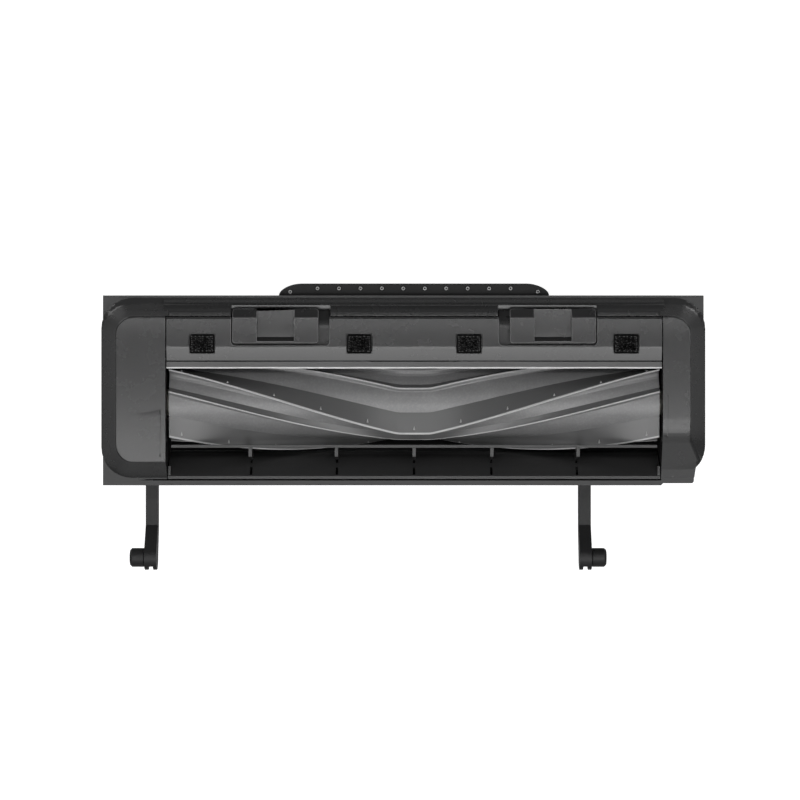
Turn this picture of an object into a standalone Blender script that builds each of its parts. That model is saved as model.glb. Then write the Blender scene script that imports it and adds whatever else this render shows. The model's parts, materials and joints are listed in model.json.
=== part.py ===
"""Floating main-brush module of a robot vacuum, lying on its back with the brush facing up.

X runs along the brush, +Y towards the suction duct, +Z out of the brush opening. The origin is
the centre of the footprint on the surface the module lies on. All sizes are metres.
"""
import math

import bmesh
import bpy
from mathutils import Vector

MM = 0.001
GAP = 0.3 * MM               # clearance between pieces that touch
FIT = 0.2 * MM               # clearance of a pin or screw in its hole
BITE = 1.0 * MM              # how far joined shapes overlap, and how far cutters overshoot

# Main frame: the flange, its two raised cheeks and the shoulder behind the cover
FLANGE_THICKNESS = 2.0 * MM
FACE_RISE = 8.0 * MM         # cheek face above the flange
SIDE_BANK = 6.1 * MM         # width of the sloping bank at the two ends
REAR_BANK = 7.7 * MM
LEFT_FRONT_BANK = 6.4 * MM
RIGHT_FRONT_BANK = 18.5 * MM
REAR_MARGIN = 1.0 * MM       # bare flange behind the bank
FRONT_MARGIN = 2.9 * MM      # bare flange in front of the bank
FRONT_STRIP = 1.85 * MM      # flange in front of the opening
FACE_CORNER = 6.8 * MM
BASE_CORNER = 11.6 * MM
FACE_EDGE = 0.8 * MM         # width of the small round at the edge of a face
RIGHT_FRONT_ROLL = 4.8 * MM  # width of the soft round over the right face's front edge
RIGHT_FRONT_CORNER = 1.6 * MM
SIDE_BULGE = 0.6 * MM        # cheeks stand out past the flange's ends
LINE_WIDTH = 0.35 * MM       # fine line in each face beside the opening
LINE_DEPTH = 0.3 * MM
LEFT_LINE = (2.0 * MM, (20.6 * MM, 3.0 * MM))    # from the opening, in front of the axis
RIGHT_LINE = (1.8 * MM, (22.0 * MM, -2.8 * MM))
SHOULDER_RISE = 5.0 * MM
SHOULDER_SEAM = 8.0 * MM     # shoulder's seam to the cover, from the flange's rear edge
SHOULDER_TOE = 0.6 * MM
SHELL = 1.8 * MM             # wall of the hollow cheeks
CORNER_CUT = 3.7 * MM        # right front corner of the flange set back from its end
CORNER_MIDDLE = 15.4 * MM    # centre of the corner's arc behind the front edge
CORNER_ROUND = 1.0 * MM
FRONT_NOTCH = 0.8 * MM       # right end of the front edge set back from the rest

# Opening, chamber and brush
OPENING_LENGTH = 187.7 * MM
BRUSH_FROM_FRONT = 31.6 * MM
FACE_ABOVE_AXIS = 16.5 * MM
BACK_ROOM = 4.6 * MM         # chamber's back above the surface the module lies on
CHAMBER_WALL = 1.6 * MM
CHAMBER_CLEARANCE = 1.6 * MM
SWEEP_CLEARANCE = 0.9 * MM   # fixed lips to the circle that the tall fins sweep
SHELF_THICKNESS = 1.6 * MM
SHELF_DEPTH = 17.0 * MM      # rear shelf behind the chamber
FRONT_SHELF_DROP = 6.3 * MM  # front shelf below the brush axis
SKIRT_INSET = 0.75 * MM      # front skirt behind the flange's front edge
SKIRT_WALL = 1.4 * MM
END_SLOT_RADIUS = 6.1 * MM   # slot in the chamber's end walls for the brush ends

TALL_FIN_RADIUS = 18.2 * MM
SHORT_FIN_RADIUS = 15.3 * MM
SLEEVE_RADIUS = 13.85 * MM
SLEEVE_WALL = 1.8 * MM
CORE_BORE_RADIUS = 9.9 * MM
CORE_INSET = 1.0 * MM        # core's ends inside the sleeve's
END_CLEARANCE = 1.1 * MM     # brush end to the end of the opening
FIN_PAIRS = 4
TALL_TIP = 41.5              # degrees from the top, forwards, in the middle of the brush
SHORT_TIP = 69.5
# Outline of a fin from its rear side round to its front: degrees ahead of the tip, and height as
# a share of the fin's own. The rear side of a tall fin is flat and leaves the sleeve at a tangent.
TALL_FIN = ((-25.2, 0.0), (0.0, 1.0), (1.9, 0.88), (-2.8, 0.455), (-2.8, 0.235), (3.2, 0.0))
SHORT_FIN = ((-8.2, 0.0), (0.0, 1.0), (2.2, 0.85), (4.8, 0.0))
VALLEY_POINTS = (53.0, 85.0, 95.5)   # on the sleeve between the fins, from the top, forwards
FLAT_MIDDLE = 12.4 * MM      # untwisted middle of the fins
TWIST = 0.985                # degrees per millimetre, outwards from the flat middle
TWIST_STATIONS = 9

# Cover, wiper, pads and latches
COVER_WALL = 1.6 * MM
COVER_FRONT = 15.6 * MM      # front edge of the cover behind the brush axis
COVER_DEPTH = 17.0 * MM      # front edge of the cover to its seam with the shoulder
CHAMFER_WIDTH = 4.5 * MM
CHAMFER_DROP = 1.2 * MM
COVER_LIP = 3.6 * MM         # height of the cover's front edge
COVER_REST = 0.4 * MM        # cover's wall behind the edge of the chamber
WIPER_REACH = 12.75 * MM     # edge of the wiper behind the brush axis
WIPER_THICKNESS = 0.7 * MM
WIPER_LEG = 1.0 * MM
PAD_LENGTH = 9.2 * MM
PAD_DEPTH = 6.9 * MM
PAD_HEIGHT = 1.5 * MM
PAD_RECESS = 0.8 * MM
PAD_PLACES = (20.7 * MM, 79.95 * MM)   # from the middle of the opening
PAD_BEHIND_AXIS = 22.0 * MM
RECESS_LENGTH = 37.1 * MM
RECESS_MIDDLE = 50.5 * MM    # middle of a latch recess, from the middle of the opening
RECESS_FRONT = 21.4 * MM     # front edge of the recess behind the brush axis
RECESS_PAST_SEAM = 4.8 * MM  # rear end of the recess behind the seam
RECESS_FLOOR = 4.4 * MM      # below the face
RECESS_SLOPE = 2.0 * MM      # sloping rear wall of the recess
RECESS_SLOPE_RISE = 1.4 * MM
RECESS_TOP = 3.4 * MM         # top of that slope above the flange
RECESS_CORNER = 1.5 * MM
RECESS_BANK = (30.6 * MM, 3.0 * MM)   # where the floor starts to fall, behind the axis, and by how much
LATCH_LENGTH = 32.5 * MM
LATCH_TRAVEL = 3.8 * MM
LATCH_PLAY = 0.4 * MM        # latch to the outer end of its recess
LATCH_FRONT = 22.25 * MM     # front edge of the latch behind the brush axis
LATCH_BANK = 3.6 * MM
LATCH_REAR_RISE = 1.0 * MM
LATCH_SINK = 0.4 * MM
LATCH_CORNER = 1.1 * MM
POCKET_LENGTH = 14.0 * MM
POCKET_DEPTH = 2.6 * MM
POCKET_WALL = 0.7 * MM       # latch material in front of the pocket
POCKET_SLOPE = 1.8 * MM      # sloping front wall of the pocket
POCKET_CORNER = 1.1 * MM
LEG_LENGTH = 6.0 * MM
LEG_REACH = 1.9 * MM         # below the recess floor plate
FLOOR_PLATE = 1.2 * MM
TONGUE_OUT = 3.0 * MM        # tongue beyond the outer end of the recess
TONGUE_HALF_DEPTH = 1.5 * MM
KEEPER_LENGTH = 2.4 * MM
KEEPER_RISE = 2.4 * MM
SPRING_RADIUS = 0.8 * MM
SPRING_WIRE = 0.2 * MM
SPRING_TURNS = 8

# Intake guard in front of the brush
RAIL_OUT = 17.2 * MM         # front of the rail in front of the brush axis
RAIL_THICKNESS = 1.1 * MM
RAIL_RISE = 14.0 * MM        # top of the rail above the brush axis
RIB_THICKNESS = 1.3 * MM
RIB_PLACES = (-62.0 * MM, -29.4 * MM, 0.0, 29.4 * MM, 62.0 * MM)
RIB_NOSE = 3.4 * MM          # flat top of a rib in front of the rail
RIB_FOOT = 4.4 * MM          # foot of a rib in front of the rail
RIB_DROP = 2.0 * MM          # lowest point of a rib below the brush axis
RIB_SLOT = 0.9 * MM          # width of the slots in the mouth in line with the ribs
RIB_SLOTS = ((4.8 * MM, 6.0 * MM), (7.6 * MM, 10.4 * MM))   # in front of the rail
MOUTH_DEPTH = 9.2 * MM       # depth and height of the mouth's half parabola
MOUTH_HEIGHT = 14.2 * MM
MOUTH_WALL = 1.3 * MM
LIP_WIDTH = 1.1 * MM
LIP_HEIGHT = 3.0 * MM
GROOVE = 0.6 * MM            # open groove between the guard's lip and the flange
GROOVE_LEFT = 10.5 * MM      # groove runs on past the left end of the opening
GROOVE_DEPTH = 1.4 * MM
GUARD_END = 1.0 * MM         # thickness of the guard's end returns
GUARD_END_DEPTH = 4.9 * MM

# Duct and its seal
DUCT_LENGTH = 92.0 * MM
DUCT_HEIGHT = 16.0 * MM
DUCT_WALL = 1.5 * MM
DUCT_ABOVE_GROUND = 12.0 * MM
DUCT_REACH = 4.7 * MM        # seal beyond the flange's rear edge
SEAL_LENGTH = 103.0 * MM
SEAL_TAPER = 8.5 * MM        # each end drawn in at the nose
SEAL_MOUTH_INSET = 11.5 * MM   # mouth to each end of the seal
SEAL_WALL = 2.5 * MM
SEAL_EDGE = 2.9 * MM         # full-length part of the seal
SEAL_BACK = 2.3 * MM         # seal's root in front of the flange's rear edge
STUD_RADIUS = 0.65 * MM
STUD_HEIGHT = 0.8 * MM
STUDS = 10
STUD_ROW_INSET = 14.7 * MM   # first stud of the row to the end of the seal
STUD_INSET = 1.9 * MM
END_STUD_FROM_END = 4.3 * MM
END_STUD_INSET = 3.2 * MM

# Swing arms and pivots
ARM_REACH = 33.0 * MM        # beyond the flange's front edge
ARM_WIDTH = 4.7 * MM
ARM_THICKNESS = 5.0 * MM
ARM_KINK = 15.8 * MM         # kink in front of the flange
LEFT_ARM_INSET = 5.5 * MM   # middle of the left arm from the gearbox's inner face
RIGHT_ARM_INSET = 27.8 * MM   # middle of the right arm from the right end of the opening
BOSS_RADIUS = 4.8 * MM
PIVOT_ABOVE_GROUND = 20.5 * MM
PIN_RADIUS = 2.2 * MM
BUSH_RADIUS = 3.65 * MM
BUSH_LENGTH = 5.7 * MM
BUSH_CHAMFER = 0.8 * MM
FORK_SLOT = 1.85 * MM
FORK_DEPTH = 1.4 * MM
FOOT_LENGTH = 10.0 * MM
FOOT_DEPTH = 6.0 * MM
FOOT_BEHIND_EDGE = 9.4 * MM    # rear end of an arm behind the flange's front edge
BOSS_HEIGHT = 6.0 * MM

# Gearbox and motor
MODULE = 0.7 * MM
PINION_TEETH = 12
WHEEL_TEETH = 34
ADDENDUM = 0.8               # of the module
DEDENDUM = 1.15
PRESSURE_ANGLE = math.radians(20)
BACKLASH = 0.16 * MM
CENTRE_PLAY = 0.1 * MM
MOTOR_BEHIND_AXIS = 27.5 * MM
MOTOR_BELOW_AXIS = 16.4 * MM
GEARBOX_WALL = 1.8 * MM
GEARBOX_INNER_WALL = 2.5 * MM
GEARBOX_FRONT = 17.2 * MM    # front wall in front of the brush axis
GEARBOX_REAR_MARGIN = 2.2 * MM
GEAR_WELL = 13.2 * MM        # half-depth of the space for the output gear in the frame
END_INSET = 0.5 * MM         # gearbox and bearing block inside the flange's ends
WHEEL_WIDTH = 4.0 * MM
OUTPUT_WIDTH = 5.0 * MM
GEAR_GAP = 0.6 * MM
POST_CLEARANCE = 1.3 * MM    # output wheel to the gearbox's screw posts
HUB_RADIUS = 7.0 * MM
STUB_RADIUS = 3.0 * MM
BEARING_RADIUS = 8.6 * MM
BEARING_LENGTH = 4.0 * MM
SOCKET = 8.6 * MM
SOCKET_DEPTH = 8.0 * MM
AXLE_RADIUS = 1.5 * MM
MOTOR_RADIUS = 10.2 * MM
MOTOR_FLAT = 7.7 * MM        # half-height over the flats
MOTOR_LENGTH = 30.0 * MM
MOTOR_WALL = 0.8 * MM
MOTOR_CAP = 3.0 * MM
SHAFT_RADIUS = 1.0 * MM
ARMATURE_RADIUS = 6.3 * MM
MOTOR_BOSS_RADIUS = 3.0 * MM
MOTOR_BOSS_LENGTH = 2.0 * MM
ARMATURE_LENGTH = 18.0 * MM
ARMATURE_START = 6.0 * MM
MAGNET_RADIUS = 6.8 * MM
MAGNET_HALF_ANGLE = 38.0
TERMINAL_PLACE = 4.5 * MM
TERMINAL_LENGTH = 4.0 * MM
TERMINAL_WIDTH = 2.4 * MM
TERMINAL_THICKNESS = 0.5 * MM
MOTOR_SCREW_PLACE = 5.5 * MM

# Brush ends
PLUG_DEPTH = 10.0 * MM
NECK_PAST_WALL = 0.1 * MM
NECK_RADIUS = 5.0 * MM
SQUARE = 8.0 * MM
SQUARE_LENGTH = 6.5 * MM
STUB_SHAFT_RADIUS = 2.5 * MM
STUB_SHAFT_LENGTH = 9.0 * MM
END_BEARING_RADIUS = 6.0 * MM
END_BEARING_LENGTH = 5.0 * MM
BLOCK_LENGTH = 11.7 * MM
BLOCK_HALF_DEPTH = 14.0 * MM
BLOCK_RIGHT_INSET = 2.6 * MM
BLOCK_SEAT = 8.2 * MM        # half-depth of the solid seat round the end bearing
BLOCK_SEAT_LENGTH = 7.0 * MM

# Screws and supports
SCREW_RADIUS = 1.2 * MM
SCREW_HEAD_RADIUS = 2.3 * MM
SCREW_HEAD = 1.5 * MM
SCREW_LENGTH = 9.0 * MM
HOUSING_SCREW_LENGTH = 7.6 * MM
DECK_SCREW_LENGTH = 6.0 * MM
MOTOR_SCREW_LENGTH = 5.0 * MM
MOTOR_SCREW_RADIUS = 0.8 * MM
MOTOR_SCREW_HEAD = 1.5 * MM
POST_RADIUS = 3.1 * MM
POST_BELOW_PLATE = 4.0 * MM  # seat of a screw head below the flange plate
HEAD_SINK = 1.8 * MM
FOOT_RIB = 2.0 * MM
FOOT_RIB_PLACES = (-60.0 * MM, 0.0, 60.0 * MM)
FOOT_RIB_HALF_DEPTH = 15.0 * MM
DECK_SCREW_END = 13.85 * MM  # outer screws to the ends of the opening
DECK_SCREW_MIDDLE = 14.0 * MM   # inner screws to the middle of the opening
DECK_SCREW_BEHIND_AXIS = 27.5 * MM

# Places that follow from the sizes above
GEARBOX_LENGTH = (GEARBOX_WALL + 2 * GEAR_GAP + WHEEL_WIDTH + OUTPUT_WIDTH + POST_CLEARANCE
                  + 2 * POST_RADIUS + GEARBOX_INNER_WALL)
LEFT_END = CHAMBER_WALL + GAP + GEARBOX_LENGTH + END_INSET
RIGHT_END = CHAMBER_WALL + GAP + BLOCK_LENGTH + BLOCK_RIGHT_INSET
FLANGE_LENGTH = LEFT_END + OPENING_LENGTH + RIGHT_END
OPENING_OFFSET = (LEFT_END - RIGHT_END) / 2   # middle of the opening
FLANGE_DEPTH = BRUSH_FROM_FRONT + COVER_FRONT + COVER_DEPTH + SHOULDER_SEAM
RECESS_REAR = COVER_FRONT + COVER_DEPTH + RECESS_PAST_SEAM
LATCH_REAR = RECESS_REAR - RECESS_SLOPE
TOTAL_DEPTH = DUCT_REACH + FLANGE_DEPTH + ARM_REACH
REAR_Y = TOTAL_DEPTH / 2 - DUCT_REACH
FRONT_Y = REAR_Y - FLANGE_DEPTH
LEFT_X = -FLANGE_LENGTH / 2
RIGHT_X = FLANGE_LENGTH / 2
AXIS_Y = FRONT_Y + BRUSH_FROM_FRONT
CHAMBER_RADIUS = TALL_FIN_RADIUS + CHAMBER_CLEARANCE
CHAMBER_OUTER = CHAMBER_RADIUS + CHAMBER_WALL
AXIS_Z = BACK_ROOM + CHAMBER_OUTER
FACE_Z = AXIS_Z + FACE_ABOVE_AXIS
FLANGE_Z = FACE_Z - FACE_RISE
PLATE_Z = FLANGE_Z - FLANGE_THICKNESS
RIM_Z = PLATE_Z - GAP
OPENING_LEFT = OPENING_OFFSET - OPENING_LENGTH / 2
OPENING_RIGHT = OPENING_OFFSET + OPENING_LENGTH / 2
CHAMBER_REAR_Y = AXIS_Y + CHAMBER_RADIUS
SEAM_Y = REAR_Y - SHOULDER_SEAM
SWEEP = TALL_FIN_RADIUS + SWEEP_CLEARANCE
CENTRE_DISTANCE = MODULE * (PINION_TEETH + WHEEL_TEETH) / 2 + CENTRE_PLAY
MOTOR_Y = AXIS_Y + MOTOR_BEHIND_AXIS
MOTOR_Z = AXIS_Z - MOTOR_BELOW_AXIS
GEARBOX_LEFT = LEFT_X + END_INSET
GEARBOX_RIGHT = GEARBOX_LEFT + GEARBOX_LENGTH
BEARING_LEFT = OPENING_RIGHT + CHAMBER_WALL + GAP
WHEEL_X = GEARBOX_LEFT + GEARBOX_WALL + GEAR_GAP
OUTPUT_X = WHEEL_X + WHEEL_WIDTH + GEAR_GAP
GEARBOX_FRONT_Y = AXIS_Y - GEARBOX_FRONT
GEARBOX_REAR_Y = REAR_Y - GEARBOX_REAR_MARGIN
PIVOT_Y = FRONT_Y - ARM_REACH + BOSS_RADIUS
FRONT_SHELF_Z = AXIS_Z - FRONT_SHELF_DROP
SKIRT_Y = FRONT_Y + SKIRT_INSET
WINDOW_FRONT_Y = FRONT_Y + FRONT_STRIP
GUARD_FRONT_Y = WINDOW_FRONT_Y + GROOVE
RAIL_Y = AXIS_Y - RAIL_OUT
MOUTH_Y = GUARD_FRONT_Y + LIP_WIDTH
MOUTH_Z = FRONT_SHELF_Z + GAP
COVER_Z = FLANGE_Z + GAP
FLOOR_Z = FACE_Z - RECESS_FLOOR
FLOOR_UNDER_Z = FLOOR_Z - FLOOR_PLATE
BRUSH_HALF = OPENING_LENGTH / 2 - END_CLEARANCE
SPRING_LENGTH = (RECESS_LENGTH - LATCH_PLAY - LATCH_TRAVEL - (LATCH_LENGTH + LEG_LENGTH) / 2
                 - 2 * (SPRING_WIRE + GAP))
HUB_RIGHT = GEARBOX_RIGHT - GAP
MOTOR_LEFT = GEARBOX_RIGHT + GAP
BLOCK_RIGHT = RIGHT_X - BLOCK_RIGHT_INSET
DUCT_TOP = DUCT_ABOVE_GROUND + DUCT_HEIGHT
ARM_TOP = FRONT_SHELF_Z - SHELF_THICKNESS - GAP
ARM_FOOT_Y = FRONT_Y + FOOT_BEHIND_EDGE
LEFT_ARM_X = GEARBOX_RIGHT - LEFT_ARM_INSET
RIGHT_ARM_X = OPENING_RIGHT - RIGHT_ARM_INSET
TONGUE_Y = SEAM_Y - 2 * GAP - COVER_WALL - TONGUE_HALF_DEPTH


# Materials -----------------------------------------------------------------------------------

COLOURS = {
    "body_plastic": ((0.082, 0.083, 0.085, 1), 0.55, 0.0),
    "lower_plastic": ((0.05, 0.05, 0.052, 1), 0.6, 0.0),
    "brush_rubber": ((0.19, 0.19, 0.192, 1), 0.6, 0.0),
    "seal_rubber": ((0.03, 0.03, 0.03, 1), 0.75, 0.0),
    "pile_fabric": ((0.012, 0.012, 0.012, 1), 0.95, 0.0),
    "gear_plastic": ((0.62, 0.6, 0.55, 1), 0.45, 0.0),
    "steel": ((0.6, 0.6, 0.6, 1), 0.3, 1.0),
    "bronze": ((0.5, 0.34, 0.16, 1), 0.4, 1.0),
    "insulator": ((0.7, 0.68, 0.62, 1), 0.5, 0.0),
}


def material(name):
    """One shared Principled material per finish."""
    found = bpy.data.materials.get(name)
    if found:
        return found
    colour, roughness, metallic = COLOURS[name]
    made = bpy.data.materials.new(name)
    made.use_nodes = True
    shader = made.node_tree.nodes["Principled BSDF"]
    shader.inputs["Base Color"].default_value = colour
    shader.inputs["Roughness"].default_value = roughness
    shader.inputs["Metallic"].default_value = metallic
    return made


# Solids --------------------------------------------------------------------------------------

def solid(name, points, faces, finish=None):
    """A closed mesh object from points and faces, with its faces turned outward."""
    mesh = bpy.data.meshes.new(name)
    mesh.from_pydata([tuple(p) for p in points], [], faces)
    work = bmesh.new()
    work.from_mesh(mesh)
    bmesh.ops.recalc_face_normals(work, faces=work.faces)
    work.to_mesh(mesh)
    work.free()
    made = bpy.data.objects.new(name, mesh)
    bpy.context.collection.objects.link(made)
    if finish:
        mesh.materials.append(material(finish))
    return made


def loft(name, rings, finish=None):
    """Skin through rings of equally many points, closed by a face at each end."""
    count = len(rings[0])
    points = [p for ring in rings for p in ring]
    faces = [tuple(range(count)), tuple(range(len(points) - count, len(points)))]
    for r in range(len(rings) - 1):
        for i in range(count):
            j = (i + 1) % count
            faces.append((r * count + i, r * count + j, (r + 1) * count + j, (r + 1) * count + i))
    return solid(name, points, faces, finish)


def prism(name, outline, axis, low, high, finish=None):
    """Outline pushed along one axis. It is (y, z) for X, (x, z) for Y and (x, y) for Z."""
    place = {
        "X": lambda a, b, c: (c, a, b),
        "Y": lambda a, b, c: (a, c, b),
        "Z": lambda a, b, c: (a, b, c),
    }[axis]
    return loft(name, [[place(a, b, c) for a, b in outline] for c in (low, high)], finish)


def box(name, x, y, z, finish=None):
    """Box between two values along each axis."""
    return prism(name, [(x[0], y[0]), (x[1], y[0]), (x[1], y[1]), (x[0], y[1])], "Z", *z, finish)


def circle(centre, radius, sides, start=0.0):
    """Points round a circle in a plane."""
    turns = [start + 2 * math.pi * i / sides for i in range(sides)]
    return [(centre[0] + radius * math.cos(t), centre[1] + radius * math.sin(t)) for t in turns]


def arc(centre, radii, start, end, steps):
    """Points along an elliptic arc, both ends included, angles in degrees."""
    turns = [math.radians(start + (end - start) * i / steps) for i in range(steps + 1)]
    return [(centre[0] + radii[0] * math.cos(t), centre[1] + radii[1] * math.sin(t)) for t in turns]


def rounded_box_outline(x, y, radius, steps=3):
    """Rectangle with round corners, anticlockwise."""
    outline = []
    for cx, cy, start in ((x[1] - radius, y[1] - radius, 0), (x[0] + radius, y[1] - radius, 90),
                          (x[0] + radius, y[0] + radius, 180), (x[1] - radius, y[0] + radius, 270)):
        outline += arc((cx, cy), (radius, radius), start, start + 90, steps)
    return outline


def turned(name, profile, centre, sides, finish=None):
    """Body of revolution about an X line through centre (y, z). The profile is (x, radius)."""
    rings = [[(x, *p) for p in circle(centre, radius, sides)] for x, radius in profile]
    return loft(name, rings, finish)


def rod(name, x, centre, radius, sides=20, finish=None):
    """Plain round bar along X."""
    return turned(name, [(x[0], radius), (x[1], radius)], centre, sides, finish)


def boolean(target, tool, operation):
    """Cut or join a tool into a target with an exact Boolean and hide the tool."""
    modifier = target.modifiers.new(tool.name, "BOOLEAN")
    modifier.operation = operation
    modifier.solver = "EXACT"
    modifier.object = tool
    tool.hide_render = True
    tool.display_type = "WIRE"
    tool.hide_set(True)


def cut(target, *tools):
    """Take each tool's shape out of the target."""
    for tool in tools:
        boolean(target, tool, "DIFFERENCE")


def join(target, *tools):
    """Grow the target by each tool's shape."""
    for tool in tools:
        boolean(target, tool, "UNION")


def smooth(target, degrees=30):
    """Smooth shading that keeps edges sharper than the given angle."""
    target.data.shade_smooth()
    target.data.set_sharp_from_angle(angle=math.radians(degrees))


def pivot(name, place, pieces):
    """Empty on a joint's axis that carries the pieces of one moving body."""
    empty = bpy.data.objects.new(name, None)
    empty.empty_display_size = 10 * MM
    empty.location = place
    bpy.context.collection.objects.link(empty)
    for piece in pieces:
        piece.parent = empty
        piece.matrix_parent_inverse.translation = -Vector(place)
    return empty


def mirrored(place, side):
    """X at a distance from the middle of the opening, on the left (-1) or right (+1)."""
    return OPENING_OFFSET + side * place


def span(a, b):
    """The two values in rising order."""
    return (min(a, b), max(a, b))


def sweep_height(offset):
    """Lowest height over the axis that clears the fins at a distance from the axis along Y."""
    return math.sqrt(SWEEP ** 2 - offset ** 2)


# Frame ---------------------------------------------------------------------------------------

def cheek_ring(side, height, inset, rear_inset, front_inset, corner, front_corner=None):
    """One level of a cheek: a rectangle with its two outer corners rounded."""
    front_corner = front_corner or corner
    inner = OPENING_LEFT + BITE if side < 0 else OPENING_RIGHT - BITE
    outer = side * (FLANGE_LENGTH / 2 - inset)
    rear = REAR_Y - REAR_MARGIN - rear_inset
    front = FRONT_Y + FRONT_MARGIN + front_inset
    ring = [(inner, front)]
    ring += arc((outer - side * front_corner, front + front_corner),
                (side * front_corner, front_corner), 270, 360, 8)
    ring += arc((outer - side * corner, rear - corner), (side * corner, corner), 0, 90, 8)
    ring.append((inner, rear))
    return [(x, y, FLANGE_Z + height) for x, y in ring]


def cheek(side):
    """Raised end of the frame: a toe, a bank and a flat face with a small round at its edge."""
    left = side < 0
    front_bank = LEFT_FRONT_BANK if left else RIGHT_FRONT_BANK
    front_roll = FACE_EDGE if left else RIGHT_FRONT_ROLL
    front_corner = FACE_CORNER if left else RIGHT_FRONT_CORNER
    rings = []
    for height, part in ((-BITE, 0.0), (0.02 * FACE_RISE, 0.0), (0.16 * FACE_RISE, 0.3)):
        corner = BASE_CORNER + (FACE_CORNER - BASE_CORNER) * part
        bulge = SIDE_BULGE * (1 - part)
        rings.append(cheek_ring(side, height, SIDE_BANK * part * 0.5 - bulge, REAR_BANK * part,
                                front_bank * part * 0.6, corner, corner if left else front_corner))
    for drop, back in ((1.0, 0.0), (0.6, 0.18), (0.25, 0.42), (0.07, 0.7), (0.0, 1.0)):
        inset = FACE_EDGE * (back - 1)
        rings.append(cheek_ring(side, FACE_RISE - drop * FACE_EDGE, SIDE_BANK + inset,
                                REAR_BANK + inset, front_bank + front_roll * (back - 1),
                                FACE_CORNER, front_corner))
    return loft(f"cheek_{side}", rings)


def shoulder():
    """Rounded ledge between the cheeks, behind the cover."""
    toe = REAR_Y - REAR_MARGIN
    crest = arc((SEAM_Y, FLANGE_Z), (toe - SEAM_Y - SHOULDER_TOE, SHOULDER_RISE), 12, 90, 6)
    outline = [(SEAM_Y - BITE, FLANGE_Z - BITE), (toe, FLANGE_Z - BITE), (toe, FLANGE_Z + FIT)]
    outline += crest + [(SEAM_Y - BITE, FLANGE_Z + SHOULDER_RISE)]
    return prism("shoulder", outline, "X", OPENING_LEFT - BITE, OPENING_RIGHT + BITE)


def flange_outline(bulge=0.0):
    """Flange with its right front corner cut back, and its right end moved out by a bulge."""
    right = RIGHT_X + bulge
    base = FRONT_Y + FRONT_NOTCH
    tab = RIGHT_X - CORNER_CUT
    sweep = math.degrees(math.acos(1 - CORNER_CUT / BASE_CORNER))
    outline = [(LEFT_X, FRONT_Y), (OPENING_RIGHT, FRONT_Y), (OPENING_RIGHT + FRONT_NOTCH, base)]
    outline += arc((tab - CORNER_ROUND, base + CORNER_ROUND), (CORNER_ROUND, CORNER_ROUND),
                   270, 360, 3)
    outline += arc((right - BASE_CORNER, FRONT_Y + CORNER_MIDDLE), (BASE_CORNER, BASE_CORNER),
                   -sweep, 0, 5)
    outline += [(right, REAR_Y), (LEFT_X, REAR_Y)]
    return outline


def cover_bay():
    """Space for the cover, the guard and the chamber, between the two cheeks."""
    outline = [(WINDOW_FRONT_Y, PLATE_Z - BITE), (CHAMBER_REAR_Y, PLATE_Z - BITE),
               (CHAMBER_REAR_Y, FLANGE_Z), (SEAM_Y, FLANGE_Z), (SEAM_Y, FACE_Z + BITE),
               (WINDOW_FRONT_Y, FACE_Z + BITE)]
    return prism("cover_bay", outline, "X", OPENING_LEFT, OPENING_RIGHT)


def latch_notch(side):
    """Notch in the shoulder for a latch, with a sloping rear wall and two round corners."""
    rear = AXIS_Y + RECESS_REAR
    top = FLANGE_Z + RECESS_TOP
    outline = [(SEAM_Y - BITE, FLANGE_Z), (rear - RECESS_SLOPE, FLANGE_Z),
               (rear - RECESS_SLOPE, top - RECESS_SLOPE_RISE), (rear, top), (rear, FACE_Z),
               (SEAM_Y - BITE, FACE_Z)]
    ends = recess_span(side, GAP)
    notch = prism(f"latch_notch_{side}", outline, "X", *ends)
    plan = rounded_box_outline(ends, (SEAM_Y - 4 * BITE, rear), RECESS_CORNER)
    boolean(notch, prism("notch_plan", plan, "Z", PLATE_Z, FACE_Z + BITE), "INTERSECT")
    return notch


def face_line(side):
    """Fine straight line in a cheek's face beside the opening."""
    place, reach = LEFT_LINE if side < 0 else RIGHT_LINE
    edge = OPENING_LEFT - place if side < 0 else OPENING_RIGHT + place
    return box("face_line", (edge - LINE_WIDTH / 2, edge + LINE_WIDTH / 2),
               (AXIS_Y - reach[0], AXIS_Y - reach[1]), (FACE_Z - LINE_DEPTH, FACE_Z + BITE))


def keeper(side):
    """Upright post on the flange plate that the tip of a latch tongue stands against."""
    tip = RECESS_MIDDLE + RECESS_LENGTH / 2 + TONGUE_OUT + GAP
    return box(f"keeper_{side}", span(mirrored(tip, side), mirrored(tip + KEEPER_LENGTH, side)),
               (TONGUE_Y - TONGUE_HALF_DEPTH, TONGUE_Y + TONGUE_HALF_DEPTH),
               (FLANGE_Z - BITE, FLANGE_Z + KEEPER_RISE))


def block_screw_places():
    """Screws up into the flange plate: two in the gearbox, two in the bearing block."""
    gearbox_x = GEARBOX_RIGHT - GEARBOX_INNER_WALL - POST_RADIUS
    block_x = BLOCK_RIGHT - POST_RADIUS
    edge = POST_RADIUS + 0.5 * MM
    return [(gearbox_x, GEARBOX_FRONT_Y + edge), (gearbox_x, GEARBOX_REAR_Y - edge),
            (block_x, AXIS_Y - BLOCK_HALF_DEPTH + POST_RADIUS),
            (block_x, AXIS_Y + BLOCK_HALF_DEPTH - POST_RADIUS)]


def deck_screw_places():
    """Screws down through the flange plate into the chamber, hidden by the cover."""
    places = [x * side for x in (DECK_SCREW_MIDDLE, OPENING_LENGTH / 2 - DECK_SCREW_END)
              for side in (-1, 1)]
    return [(OPENING_OFFSET + x, AXIS_Y + DECK_SCREW_BEHIND_AXIS) for x in sorted(places)]


def arm_screw_places():
    """Screws up through the feet of the two arms."""
    return [(x, ARM_FOOT_Y - FOOT_DEPTH / 2) for x in (LEFT_ARM_X, RIGHT_ARM_X)]


def upright_hole(place, radius, low, high):
    """Round cutter standing on end."""
    return prism("upright_hole", circle(place, radius, 12), "Z", low, high)


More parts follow.
